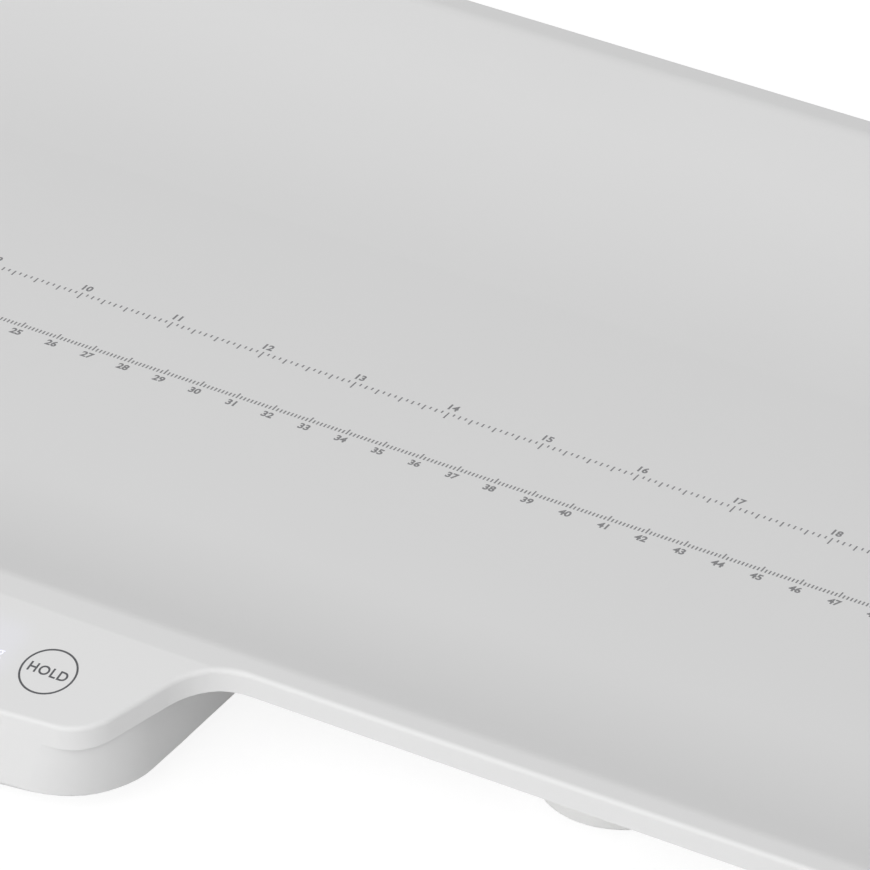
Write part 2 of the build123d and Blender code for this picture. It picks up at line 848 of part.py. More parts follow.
def foot_pad(x, y):
    """Anti-slip rubber disc under a foot's floor."""
    with BuildPart() as pad:
        with BuildSketch(Plane.XY):
            with Locations((x, y)):
                RegularPolygon(pad_r, foot_sides)
        extrude(amount=pad_thick)
    return pad.part


def load_cell(x, y):
    """Stamped steel plate: outer frame with a tongue reaching to its middle."""
    tongue_tip = y - tongue_wide / 2
    with BuildPart() as plate:
        with BuildSketch(Plane.XY.offset(cell_under)) as stamping:
            with Locations((x, y)):
                Rectangle(cell_side, cell_side)
                chamfer(stamping.vertices(), cell_corner)
                Rectangle(cell_hole, cell_hole, mode=Mode.SUBTRACT)
            with Locations((x, tongue_tip)):
                Rectangle(
                    tongue_wide,
                    (cell_hole + tongue_wide) / 2 + root,
                    align=(Align.CENTER, Align.MIN),
                )
            tip_corners = stamping.vertices().filter_by(
                lambda corner: abs(corner.Y - tongue_tip) < seam
            )
            chamfer(tip_corners, tongue_bevel)
            with Locations((x, y)):
                RegularPolygon(
                    screw_r + screw_gap, bore_sides, major_radius=False, mode=Mode.SUBTRACT
                )
        extrude(amount=cell_thick)
    return plate.part


def load_cell_clamp(x, y):
    """Plastic frame screwed down over the plate's rails."""
    inside = cell_hole + 2 * clamp_inside
    with BuildPart() as clamp:
        with BuildSketch(Plane.XY.offset(cell_top)) as frame:
            with Locations((x, y)):
                Rectangle(2 * clamp_half, 2 * clamp_half)
                Rectangle(2 * clamp_reach + ear_wide, ear_wide)
            chamfer(frame.vertices().filter_by(
                lambda corner: abs(corner.X - x) > clamp_half - seam
                and abs(abs(corner.Y - y) - ear_wide / 2) > seam
                or abs(corner.X - x) > clamp_reach
            ), cell_corner)
            with Locations((x, y)):
                Rectangle(inside, inside, mode=Mode.SUBTRACT)
            with Locations((x - clamp_reach, y), (x + clamp_reach, y)):
                RegularPolygon(
                    screw_r + screw_gap, bore_sides, major_radius=False, mode=Mode.SUBTRACT
                )
        extrude(amount=clamp_thick)
    return clamp.part


with BuildPart() as strain_gauges:
    gauge_y = cell_hole / 2 - gauge_inset
    with BuildSketch(Plane.XY.offset(cell_top)) as gauge_faces:
        with Locations(*[(x, y + gauge_y) for x, y in foot_spots]):
            Rectangle(gauge_long, gauge_wide)
        chamfer(gauge_faces.vertices(), gauge_bevel)
    extrude(amount=gauge_thick)

# ---- batteries: two rows of two cells, with their plates and springs ----
row_step = cell_r + cell_gap / 2
pair_long = cell_long + nub_long
wall_x = bay_long / 2 - seam
nub_end = wall_x - contact_thick
with BuildPart() as batteries:
    for row in (-1, 1):
        for place in (1, 2):
            flat_end = Plane(
                origin=(row * (nub_end - place * pair_long), bay_y + row * row_step, cell_z),
                x_dir=(0, 1, 0),
                z_dir=(row, 0, 0),
            )
            with BuildSketch(flat_end):
                RegularPolygon(cell_r, cell_sides)
            extrude(amount=cell_long)
            with BuildSketch(flat_end.offset(cell_long)):
                RegularPolygon(nub_r, bore_sides)
            extrude(amount=nub_long - seam / 2)

with BuildPart() as contact_plates:
    for side in (-1, 1):
        with BuildSketch(Plane.YZ.offset(side * wall_x)):
            with Locations((bay_y - row_step, cell_z), (bay_y + row_step, cell_z)):
                Rectangle(2 * (cell_r - contact_margin), 2 * (cell_r - contact_margin))
        extrude(amount=-side * contact_thick)

with BuildPart() as battery_springs:
    spring_inset = (spring_wire + seam) / 2
    for row in (-1, 1):
        spring_base = Plane(
            origin=(-row * (nub_end - spring_inset), bay_y + row * row_step, cell_z),
            x_dir=(0, 1, 0),
            z_dir=(row, 0, 0),
        )
        spring_long = 2 * (nub_end - pair_long - spring_inset)
        add(coil_spring(
            spring_base, spring_long, spring_r, spring_turns, spring_wire, spring_taper
        ))

# ---- unit button with the little switch above it ----
with BuildPart() as unit_button:
    with BuildSketch(Plane.XY.offset(dish_top - button_stand)):
        with Locations((button_x, button_y)):
            Circle(button_r)
    extrude(amount=flange_z - dish_top + button_stand)
    chamfer(unit_button.edges().sort_by(Axis.Z)[:1], button_edge)
    with BuildSketch(Plane.XY.offset(flange_z)):
        with Locations((button_x, button_y)):
            RegularPolygon(button_r + button_flange, boss_sides)
    extrude(amount=button_flange)
    with BuildSketch(Plane.XY.offset(nub_z)):
        with Locations((button_x, button_y)):
            RegularPolygon(plunger_r + nub_margin, boss_sides)
    extrude(amount=button_nub)

with BuildPart() as switch_plunger:
    with BuildSketch(Plane.XY.offset(plunger_z)):
        with Locations((button_x, button_y)):
            RegularPolygon(plunger_r, boss_sides)
    extrude(amount=plunger_high)

with BuildPart() as unit_switch:
    with BuildSketch(Plane.XY.offset(switch_z)):
        with Locations((button_x, button_y)):
            Rectangle(switch_side, switch_side)
    extrude(amount=switch_high)
    with BuildSketch(Plane.XY.offset(switch_z)):
        with Locations((button_x, button_y)):
            RegularPolygon(plunger_r + seat_gap, boss_sides, major_radius=False)
    extrude(amount=switch_high - switch_lid, mode=Mode.SUBTRACT)

with BuildPart() as unit_board:
    with BuildSketch(Plane.XY.offset(small_board_z)) as small_face:
        with Locations((button_x, button_y)):
            Rectangle(small_board_long, small_board_wide)
        chamfer(small_face.vertices(), small_board_corner)
        with Locations(*small_posts):
            RegularPolygon(
                small_screw_r + screw_gap, bore_sides, major_radius=False, mode=Mode.SUBTRACT
            )
    extrude(amount=board_thick)

# ---- one file for each piece ----
named_pieces = {
    "top_shell": top_shell.part,
    "bottom_cover": bottom_cover.part,
    "battery_door": battery_door.part,
    "display_diffuser": display_diffuser.part,
    "led_display": led_display.part,
    "key_board": key_board.part,
    "board_chip": board_chip.part,
    "buzzer": buzzer.part,
    "lead_sockets": lead_sockets.part,
    "touch_spring_on_off": touch_spring(-key_x),
    "touch_spring_hold": touch_spring(key_x),
    "board_screws": board_screws,
    "shell_screws": shell_screws,
    "clamp_screws": clamp_screws,
    "strain_gauges": strain_gauges.part,
    "batteries": batteries.part,
    "contact_plates": contact_plates.part,
    "battery_springs": battery_springs.part,
    "unit_button": unit_button.part,
    "switch_plunger": switch_plunger.part,
    "unit_switch": unit_switch.part,
    "unit_board": unit_board.part,
    "unit_board_screws": unit_board_screws,
}
for corner, (x, y) in foot_points.items():
    named_pieces["foot_cup_" + corner] = foot_cup(x, y)
    named_pieces["foot_pad_" + corner] = foot_pad(x, y)
    named_pieces["foot_screw_" + corner] = screw_group(
        [(x, y)], Plane.XY.offset(cell_top + seam),
        screw_r, head_r, head_thick, cell_top + seam - post_top + foot_bite,
    )
    named_pieces["load_cell_" + corner] = load_cell(x, y)
    named_pieces["load_cell_clamp_" + corner] = load_cell_clamp(x, y)

os.makedirs("parts", exist_ok=True)
for name, piece in named_pieces.items():
    piece.label = name
    export_step(piece, "parts/" + name + ".step")
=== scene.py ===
"""Looks of the digital baby weighing scale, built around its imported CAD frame.

Everything is in metres, X along the tray, -Y towards the key panel, +Z up.
"""
import json
import math

import bmesh
import bpy
from bpy.props import FloatProperty, FloatVectorProperty, PointerProperty
from mathutils import Matrix, Vector
from mathutils.bvhtree import BVHTree

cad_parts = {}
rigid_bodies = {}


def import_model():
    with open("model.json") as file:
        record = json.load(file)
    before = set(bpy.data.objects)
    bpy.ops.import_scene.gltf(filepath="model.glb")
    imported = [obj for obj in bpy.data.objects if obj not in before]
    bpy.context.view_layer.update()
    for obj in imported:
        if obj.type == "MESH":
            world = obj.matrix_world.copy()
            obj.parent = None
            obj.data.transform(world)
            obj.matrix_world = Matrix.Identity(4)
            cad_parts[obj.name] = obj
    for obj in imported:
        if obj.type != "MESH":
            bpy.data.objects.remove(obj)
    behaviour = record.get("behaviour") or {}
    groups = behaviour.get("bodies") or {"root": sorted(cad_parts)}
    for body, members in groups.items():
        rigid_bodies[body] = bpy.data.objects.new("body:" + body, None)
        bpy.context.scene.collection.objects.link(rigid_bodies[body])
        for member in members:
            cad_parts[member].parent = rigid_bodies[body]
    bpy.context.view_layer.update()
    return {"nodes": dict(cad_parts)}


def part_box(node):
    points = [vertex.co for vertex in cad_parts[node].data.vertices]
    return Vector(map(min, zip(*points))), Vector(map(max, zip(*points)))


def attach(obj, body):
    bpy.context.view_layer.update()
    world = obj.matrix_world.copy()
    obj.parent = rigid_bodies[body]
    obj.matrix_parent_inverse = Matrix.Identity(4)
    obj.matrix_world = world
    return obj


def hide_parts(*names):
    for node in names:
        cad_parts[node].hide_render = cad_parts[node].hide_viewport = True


bl_info = {
    "name": "Baby weighing scale",
    "version": (1, 0, 0),
    "blender": (4, 5, 0),
    "location": "View3D > Sidebar > Weighing scale",
    "description": "Finishes, print, small parts and studio of a baby weighing scale",
    "category": "Object",
}

for leftover in list(bpy.data.objects):
    bpy.data.objects.remove(leftover)
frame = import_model()
nodes = frame["nodes"]

MM = 0.001
CORNERS = ("front_left", "front_right", "back_left", "back_right")
KEY_X = 37.6 * MM             # touch keys, either side of the middle
PANEL_Y = -134.05 * MM        # line of the keys and the display across the panel
NOISE_SPAN = {"From Min": 0.3, "From Max": 0.7}    # a noise texture stays mostly within these


# ---- colours and nodes ----
def hex_colour(code):
    """Linear colour of an sRGB hex value such as E0E0E0."""
    parts = [int(code[i:i + 2], 16) / 255 for i in (0, 2, 4)]
    return tuple(p / 12.92 if p <= 0.04045 else ((p + 0.055) / 1.055) ** 2.4 for p in parts)


def add_node(tree, kind, inputs=None, **settings):
    """Adds a shader node with its own settings and its inputs, as values or as links."""
    node = tree.nodes.new("ShaderNode" + kind)
    for field, value in settings.items():
        setattr(node, field, value)
    for socket, value in (inputs or {}).items():
        if isinstance(value, bpy.types.NodeSocket):
            tree.links.new(value, node.inputs[socket])
        else:
            plain = isinstance(value, (int, float))
            if not plain and len(value) == 3 and node.inputs[socket].type == "RGBA":
                value = (*value, 1.0)
            node.inputs[socket].default_value = value
    return node


def new_material(name):
    """Empty node material and its output node."""
    material = bpy.data.materials.new(name)
    material.use_nodes = True
    tree = material.node_tree
    tree.nodes.clear()
    return material, tree, add_node(tree, "OutputMaterial")


def grain_scale(size_mm):
    """Noise scale whose features are about this wide."""
    return 1 / (size_mm * MM)


def moulded_finish(name, colour, roughness, grain_mm, depth_mm, mottle=0.02, **extra):
    """Surface with a fine grain in its relief and a faint broad unevenness in colour and gloss.

    grain_mm is the width of the grain and depth_mm its height; extra goes to the shader.
    A real tool's grain is mostly under 0.1 mm wide, too fine to show, so it is drawn coarser.
    """
    broad_mm, gloss_spread = 70.0, 0.03
    material, tree, output = new_material(name)
    place = add_node(tree, "TexCoord").outputs["Object"]
    grain = add_node(tree, "TexNoise", {
        "Vector": place, "Scale": grain_scale(grain_mm), "Detail": 2.0, "Roughness": 0.6,
    })
    relief = add_node(tree, "Bump", {
        "Height": grain.outputs["Fac"], "Distance": depth_mm * MM, "Strength": 1.0,
    })
    broad = add_node(tree, "TexNoise", {
        "Vector": place, "Scale": grain_scale(broad_mm), "Detail": 3.0,
    })
    shade = add_node(tree, "MapRange", {
        "Value": broad.outputs["Fac"], **NOISE_SPAN, "To Min": 1 - mottle, "To Max": 1 + mottle,
    })
    tint = add_node(tree, "VectorMath", {
        0: colour, 1: shade.outputs["Result"],
    }, operation="MULTIPLY")
    gloss = add_node(tree, "MapRange", {
        "Value": broad.outputs["Fac"], **NOISE_SPAN,
        "To Min": roughness - gloss_spread, "To Max": roughness + gloss_spread,
    })
    shader = add_node(tree, "BsdfPrincipled", {
        "Base Color": tint.outputs["Vector"],
        "Roughness": gloss.outputs["Result"],
        "Normal": relief.outputs["Normal"],
        **extra,
    })
    tree.links.new(shader.outputs["BSDF"], output.inputs["Surface"])
    return material, tree, shader


# ---- settings a user would change ----
class ScaleFinish(bpy.types.PropertyGroup):
    tray_colour: FloatVectorProperty(
        name="Tray", description="Colour of the top moulding",
        subtype="COLOR", min=0, max=1, default=hex_colour("DCDCDC"),
    )
    cover_colour: FloatVectorProperty(
        name="Cover", description="Colour of the bottom moulding and the door",
        subtype="COLOR", min=0, max=1, default=hex_colour("DCDCDC"),
    )
    # painted light: the foot cups are drawn whiter than the cover, to make up for the shade that
    # the flange casts on them
    foot_colour: FloatVectorProperty(
        name="Feet", description="Colour of the foot cups",
        subtype="COLOR", min=0, max=1, default=hex_colour("F0F0EF"),
    )
    button_colour: FloatVectorProperty(
        name="Unit button", description="Colour of the button under the scale",
        subtype="COLOR", min=0, max=1, default=hex_colour("A8A9AB"),
    )
    pad_colour: FloatVectorProperty(
        name="Foot pads", description="Colour of the rubber under the feet",
        subtype="COLOR", min=0, max=1, default=hex_colour("C9C9C6"),
    )
    jacket_colour: FloatVectorProperty(
        name="Cell jackets", description="Colour of the plain shrink jackets of the cells",
        subtype="COLOR", min=0, max=1, default=hex_colour("33373D"),
    )
    tray_roughness: FloatProperty(
        name="Tray roughness", description="Roughness of the satin mouldings",
        min=0.1, max=1, default=0.48, subtype="FACTOR",
    )


class ScalePrint(bpy.types.PropertyGroup):
    ruler_ink: FloatVectorProperty(
        name="Ruler ink", description="Colour of the rulers",
        subtype="COLOR", min=0, max=1, default=hex_colour("7C7C7E"),
    )
    legend_ink: FloatVectorProperty(
        name="Legend ink", description="Colour of the key rings and words",
        subtype="COLOR", min=0, max=1, default=hex_colour("4C4D50"),
    )
    film: FloatProperty(
        name="Ink film", description="How far the ink stands above the moulding",
        unit="LENGTH", min=0.00001, max=0.0002, default=0.03 * MM, precision=6,
    )
    tick_width: FloatProperty(
        name="Tick width", description="Width of the rulers' ticks",
        unit="LENGTH", min=0.0001, max=0.001, default=0.35 * MM, precision=5,
    )
    numeral_height: FloatProperty(
        name="Numeral height", description="Height of the rulers' numerals",
        unit="LENGTH", min=0.001, max=0.006, default=2.3 * MM, precision=5,
    )
    ring_radius: FloatProperty(
        name="Key ring", description="Radius of the ring printed round a touch key",
        unit="LENGTH", min=0.004, max=0.01, default=6.55 * MM, precision=5,
    )
    ring_width: FloatProperty(
        name="Ring line", description="Line width of the key rings",
        unit="LENGTH", min=0.0002, max=0.001, default=0.47 * MM, precision=5,
    )


class ScaleGlow(bpy.types.PropertyGroup):
    lit_colour: FloatVectorProperty(
        name="Display light", description="Colour of the lit segments through the skin",
        subtype="COLOR", min=0, max=1, default=hex_colour("D6D4FF"),
    )
    halo_colour: FloatVectorProperty(
        name="Halo light", description="Colour of the light that spreads in the skin",
        subtype="COLOR", min=0, max=1, default=hex_colour("B9BAFF"),
    )
    segment_power: FloatProperty(
        name="Segments", description="Brightness of the lit segments",
        min=0, max=5, default=0.45,
    )
    halo_power: FloatProperty(
        name="Halo", description="Brightness of the light that spreads in the skin",
        min=0, max=1, default=0.05,
    )
    halo_spread: FloatProperty(
        name="Halo spread", description="How far the glow spreads round the digits",
        unit="LENGTH", min=0.001, max=0.02, default=9 * MM,
    )


class ScaleStudio(bpy.types.PropertyGroup):
    sky_power: FloatProperty(
        name="Room light", description="Even light from all round",
        min=0, max=2, default=0.585,
    )
    key_power: FloatProperty(
        name="Soft box", description="Power of the soft box in front",
        unit="POWER", min=0, max=500, default=30.0,
    )
    lens: FloatProperty(
        name="Lens", description="Focal length of the camera on a 36 mm sensor, in mm",
        min=20, max=600, default=337.6,
    )


# ---- mesh makers ----
def piece(name, mesh, material, body="base", stands_for=()):
    """Links a finished mesh as a piece of the scale that moves with a CAD body."""
    made = bpy.data.objects.new(name, mesh)
    bpy.context.scene.collection.objects.link(made)
    mesh.materials.clear()
    mesh.materials.append(material)
    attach(made, body)
    if stands_for:
        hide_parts(*stands_for)
    return made


def finish_node(name, material):
    """Gives a CAD node its finish."""
    shown = nodes[name]
    for place in shown.material_slots:
        place.material = material


def to_mesh(name, shape, smooth_angle=None):
    """Turns a bmesh into a mesh with outward normals."""
    bmesh.ops.recalc_face_normals(shape, faces=shape.faces[:])
    mesh = bpy.data.meshes.new(name)
    shape.to_mesh(mesh)
    shape.free()
    if smooth_angle is not None:
        mesh.shade_smooth()
        mesh.set_sharp_from_angle(angle=math.radians(smooth_angle))
    return mesh


def round_loop(shape, radius, height, steps):
    """A new loop of vertices round Z."""
    turn = [2 * math.pi * k / steps for k in range(steps)]
    return [shape.verts.new((radius * math.cos(a), radius * math.sin(a), height)) for a in turn]


def join_loops(shape, loops):
    """Joins each loop of vertices to the next one with a band of faces."""
    for here, there in zip(loops, loops[1:]):
        for k in range(len(here)):
            n = (k + 1) % len(here)
            shape.faces.new((here[k], here[n], there[n], there[k]))


def add_slab(shape, outline, low, high):
    """Adds a closed flat slab with this outline, a list of (x, y), between two heights."""
    rings = [[shape.verts.new((x, y, z)) for x, y in outline] for z in (low, high)]
    count = len(outline)
    shape.faces.new(rings[0][::-1])
    shape.faces.new(rings[1])
    for i in range(count):
        j = (i + 1) % count
        shape.faces.new((rings[0][i], rings[0][j], rings[1][j], rings[1][i]))


def add_ring(shape, radius, width, low, high, steps=96):
    """Adds a closed flat ring round the origin between two heights."""
    inner, outer = radius - width / 2, radius + width / 2
    section = ((inner, low), (outer, low), (outer, high), (inner, high))
    loops = [round_loop(shape, r, z, steps) for r, z in section]
    join_loops(shape, loops + loops[:1])


def revolved(name, profile, steps=72, smooth_angle=35):
    """Closed solid turned round Z from (radius, height) points, first and last on the axis."""
    shape = bmesh.new()
    loops = []
    for radius, height in profile:
        if radius == 0:
            loops.append([shape.verts.new((0, 0, height))])
        else:
            loops.append(round_loop(shape, radius, height, steps))
    for here, there in zip(loops, loops[1:]):
        for k in range(steps):
            n = (k + 1) % steps
            corners = [
                here[k % len(here)], here[n % len(here)],
                there[n % len(there)], there[k % len(there)],
            ]
            unique = list(dict.fromkeys(corners))
            if len(unique) > 2:
                shape.faces.new(unique)
    return to_mesh(name, shape, smooth_angle)


def arc_points(centre, radius, start, end, steps=6):
    """Points along an arc of a profile; the angles are in degrees."""
    turn = [math.radians(start + (end - start) * k / steps) for k in range(steps + 1)]
    return [(centre[0] + radius * math.cos(a), centre[1] + radius * math.sin(a)) for a in turn]


def merged(name, meshes_and_places, smooth_angle=None):
    """One mesh from several, each put at its place."""
    shape = bmesh.new()
    for mesh, place in meshes_and_places:
        before = len(shape.verts)
        shape.from_mesh(mesh)
        shape.verts.ensure_lookup_table()
        bmesh.ops.transform(shape, matrix=place, verts=shape.verts[before:])
    return to_mesh(name, shape, smooth_angle)


def evaluated_mesh(thing):
    """A new mesh of an object as its modifiers or its curve make it."""
    bpy.context.view_layer.update()
    graph = bpy.context.evaluated_depsgraph_get()
    return bpy.data.meshes.new_from_object(thing.evaluated_get(graph))


def word_mesh(text, height, thickness, width=None, weight=0.0, spacing=1.0):
    """Closed flat letters centred on the origin, as high and as wide as asked."""
    curve = bpy.data.curves.new("word_" + text.replace("/", "_"), "FONT")
    curve.body = text
    curve.align_x = "CENTER"
    curve.size = 1.0
    curve.offset = weight
    curve.space_character = spacing
    curve.extrude = 0.5
    curve.resolution_u = 4
    holder = bpy.data.objects.new(curve.name, curve)
    bpy.context.scene.collection.objects.link(holder)
    mesh = evaluated_mesh(holder)
    bpy.data.objects.remove(holder)
    bpy.data.curves.remove(curve)
    xs = [v.co.x for v in mesh.vertices]
    ys = [v.co.y for v in mesh.vertices]
    up = height / (max(ys) - min(ys))
    along = width / (max(xs) - min(xs)) if width else up
    centre = Vector(((max(xs) + min(xs)) / 2, (max(ys) + min(ys)) / 2, 0))
    mesh.transform(Matrix.Translation(-centre))
    mesh.transform(Matrix.Diagonal((along, up, thickness, 1)))
    return mesh


def surface_frame(x, y):
    """Where the top moulding's surface is at (x, y), as a matrix with its Z along the normal."""
    mesh = nodes["top_shell"].data
    tree = BVHTree.FromPolygons(
        [v.co for v in mesh.vertices], [p.vertices for p in mesh.polygons]
    )
    from_above, downwards = Vector((x, y, 1.0)), Vector((0, 0, -1))
    spot, normal, _, _ = tree.ray_cast(from_above, downwards)
    if spot is None:
        raise RuntimeError("nothing of the top moulding lies under the point")
    if normal.z < 0:
        normal = -normal
    across = Vector((1, 0, 0)) - normal * normal.x
    across.normalize()
    turn = Matrix((across, normal.cross(across), normal)).transposed().to_4x4()
    return Matrix.Translation(spot) @ turn


def wire_tube(name, points, radius, sides=10):
    """Round wire along a list of points, with closed ends."""
    shape = bmesh.new()
    loops = []
    side = None
    for k, spot in enumerate(points):
        ahead = (points[min(k + 1, len(points) - 1)] - points[max(k - 1, 0)]).normalized()
        side = ahead.orthogonal() if side is None else side - ahead * side.dot(ahead)
        side.normalize()
        other = ahead.cross(side)
        loops.append([
            shape.verts.new(spot + radius * (math.cos(a) * side + math.sin(a) * other))
            for a in (2 * math.pi * n / sides for n in range(sides))
        ])
    join_loops(shape, loops)
    shape.faces.new(loops[0][::-1])
    shape.faces.new(loops[-1])
    return to_mesh(name, shape, 50)


def print_piece(name, mesh, ink, place):
    """A print film put at its place on the moulding."""
    mesh.name = name
    mesh.transform(place)
    return piece(name, mesh, ink, "base")


# ---- finishes ----
def spark_textured_abs(name, colour, roughness):
    """ABS moulded in a spark-eroded tool."""
    # an even satin grain that takes off hard reflections, drawn coarser than the real one
    return moulded_finish(name, colour, roughness, grain_mm=0.5, depth_mm=0.006, mottle=0.006)


def pad_printed_ink(name, colour):
    """Pad-printed ink."""
    # a thin satin film, a little uneven in its cover
    return moulded_finish(name, colour, 0.5, grain_mm=0.35, depth_mm=0.004, mottle=0.08)[0]


# ---- operators, one for each piece or group of like pieces, with what they need ----
def skirt_corner(side):
    """Stretch of the flange's skirt that turns the corner of the key panel, on one side.

    It covers the two steps in which the CAD's own skirt ends there.
    """
    # all in millimetres and degrees
    arc_centre, arc_radius, arc_start, arc_end = (46.45, -134.06), 13.0, -78, -25.8
    last_point = (60.42, -135.02)
    panel_front, panel_slope, lip_underside = -146.64, 14.6, 24.38
    skirt_high, skirt_thick, bite, sink = 4.6, 0.9, 0.15, 0.01
    line = arc_points(arc_centre, arc_radius, arc_start, arc_end, 24)
    line.append(last_point)
    shape = bmesh.new()
    loops = []
    for k, (x, y) in enumerate(line):
        before, after = line[max(k - 1, 0)], line[min(k + 1, len(line) - 1)]
        along = Vector((after[0] - before[0], after[1] - before[1], 0)).normalized()
        inward = Vector((-along.y, along.x, 0))
        under_lip = lip_underside + (y - panel_front) * math.tan(math.radians(panel_slope))
        low, high = under_lip - skirt_high, under_lip + bite
        ring = []
        for deep, z in ((sink, low), (sink, high), (skirt_thick, high), (skirt_thick, low)):
            spot = Vector((x, y, z)) + inward * deep
            ring.append(shape.verts.new((side * spot.x * MM, spot.y * MM, spot.z * MM)))
        loops.append(ring)
    join_loops(shape, loops)
    shape.faces.new(loops[0])
    shape.faces.new(loops[-1])
    return to_mesh("skirt_corner", shape, 30)


class SCALE_OT_mouldings(bpy.types.Operator):
    """Finishes the top moulding, the bottom cover and the battery door"""

    bl_idname = "baby_scale.mouldings"
    bl_label = "Mouldings"

    def execute(self, context):
        finish = context.scene.scale_finish
        glow = context.scene.scale_glow
        tray, tree, shader = spark_textured_abs(
            "spark_textured_abs_tray", finish.tray_colour, finish.tray_roughness
        )
        # light of the display spreads in the skin of the panel, strongest over the digits
        inset_x, inset_y, any_height = 2 * MM, 4 * MM, 0.02
        low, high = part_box("led_display")
        middle = (low + high) / 2
        half = (high - low) / 2
        place = add_node(tree, "TexCoord").outputs["Object"]
        away = add_node(tree, "VectorMath", {0: place, 1: middle}, operation="SUBTRACT")
        size = add_node(tree, "VectorMath", {0: away.outputs["Vector"]}, operation="ABSOLUTE")
        beyond = add_node(tree, "VectorMath", {
            0: size.outputs["Vector"],
            1: (half.x - inset_x, half.y - inset_y, any_height),
        }, operation="SUBTRACT")
        outside = add_node(tree, "VectorMath", {
            0: beyond.outputs["Vector"], 1: (0, 0, 0),
        }, operation="MAXIMUM")
        reach = add_node(tree, "VectorMath", {0: outside.outputs["Vector"]}, operation="LENGTH")
        fade = add_node(tree, "MapRange", {
            "Value": reach.outputs["Value"], "From Min": 0.0, "From Max": glow.halo_spread,
            "To Min": glow.halo_power, "To Max": 0.0,
        }, interpolation_type="SMOOTHERSTEP")
        shader.inputs["Emission Color"].default_value = (*glow.halo_colour, 1)
        tree.links.new(fade.outputs["Result"], shader.inputs["Emission Strength"])
        finish_node("top_shell", tray)
        for side, word in ((-1, "left"), (1, "right")):
            piece("skirt_corner_" + word, skirt_corner(side), tray, "base")
        cover = spark_textured_abs(
            "spark_textured_abs_cover", finish.cover_colour, finish.tray_roughness
        )[0]
        finish_node("bottom_cover", cover)
        finish_node("battery_door", cover)
        return {"FINISHED"}


def print_ticks(name, ticks, ink, place):
    """Prints ticks, a list of (x, front, back), on the tray."""
    settings = bpy.context.scene.scale_print
    half = settings.tick_width / 2
    shape = bmesh.new()
    for x, front, back in ticks:
        outline = [(x - half, front), (x + half, front), (x + half, back), (x - half, back)]
        add_slab(shape, outline, -settings.film / 3, settings.film)
    print_piece(name, to_mesh(name, shape), ink, place)


def print_numerals(name, numerals, ink, place):
    """Prints numerals, a list of (number, x, y), on the tray."""
    settings = bpy.context.scene.scale_print
    bold = 0.035
    words = []
    for number, x, y in numerals:
        word = word_mesh(str(number), settings.numeral_height, settings.film, weight=bold)
        words.append((word, Matrix.Translation((x, y, 0))))
    print_piece(name, merged(name, words), ink, place)


class SCALE_OT_centimetre_ruler(bpy.types.Operator):
    """Prints the centimetre ruler along the tray"""

    bl_idname = "baby_scale.centimetre_ruler"
    bl_label = "Centimetre ruler"

    def execute(self, context):
        ink = pad_printed_ink("pad_printed_grey_ink_cm", context.scene.scale_print.ruler_ink)
        place = surface_frame(0, 0)
        long, ticks_start, numerals_start = 600, 299.8, 299.7
        front, centimetre_back, millimetre_back = -12.84 * MM, -10.73 * MM, -11.54 * MM
        numerals_y = -15.1 * MM
        print_ticks("centimetre_ticks", [
            ((step - ticks_start) * MM, front, millimetre_back if step % 10 else centimetre_back)
            for step in range(long + 1)
        ], ink, place)
        print_numerals("centimetre_numerals", [
            (number, (number * 10 - numerals_start) * MM, numerals_y)
            for number in range(1, long // 10)
        ], ink, place)
        return {"FINISHED"}


class SCALE_OT_inch_ruler(bpy.types.Operator):
    """Prints the inch ruler along the tray"""

    bl_idname = "baby_scale.inch_ruler"
    bl_label = "Inch ruler"

    def execute(self, context):
        ink = pad_printed_ink("pad_printed_grey_ink_inch", context.scene.scale_print.ruler_ink)
        place = surface_frame(0, 0)
        long, inch, start = 600, 25.4, 299.5
        back, numerals_y = 7.32 * MM, 9.6 * MM
        # where a tick starts, by how many sixteenths of an inch it falls on
        fronts = {16: 4.68 * MM, 8: 5.32 * MM, 4: 5.32 * MM, 2: 5.97 * MM, 1: 6.33 * MM}
        print_ticks("inch_ticks", [
            ((step * inch / 16 - start) * MM,
             next(fronts[part] for part in fronts if step % part == 0), back)
            for step in range(int(long / inch * 16) + 1)
        ], ink, place)
        print_numerals("inch_numerals", [
            (number, (number * inch - start) * MM, numerals_y)
            for number in range(1, int(long / inch) + 1)
        ], ink, place)
        return {"FINISHED"}


class SCALE_OT_key_legends(bpy.types.Operator):
    """Prints the rings and words of the two touch keys"""

    bl_idname = "baby_scale.key_legends"
    bl_label = "Key legends"

    def execute(self, context):
        settings = context.scene.scale_print
        ink = pad_printed_ink("pad_printed_dark_ink", settings.legend_ink)
        low, high = -settings.film / 3, settings.film
        bold, spacing = 0.02, 1.1
        for side, word, height, width in (
            (1, "HOLD", 2.8 * MM, 10.1 * MM), (-1, "ON/OFF", 2.3 * MM, 10.2 * MM),
        ):
            place = surface_frame(side * KEY_X, PANEL_Y)
            name = word.lower().replace("/", "_")
            ring = bmesh.new()
            add_ring(ring, settings.ring_radius, settings.ring_width, low, high)
            print_piece(name + "_key_ring", to_mesh(name + "_key_ring", ring), ink, place)
            letters = word_mesh(word, height, settings.film, width, bold, spacing)
            print_piece(name + "_key_word", letters, ink, place)
        return {"FINISHED"}


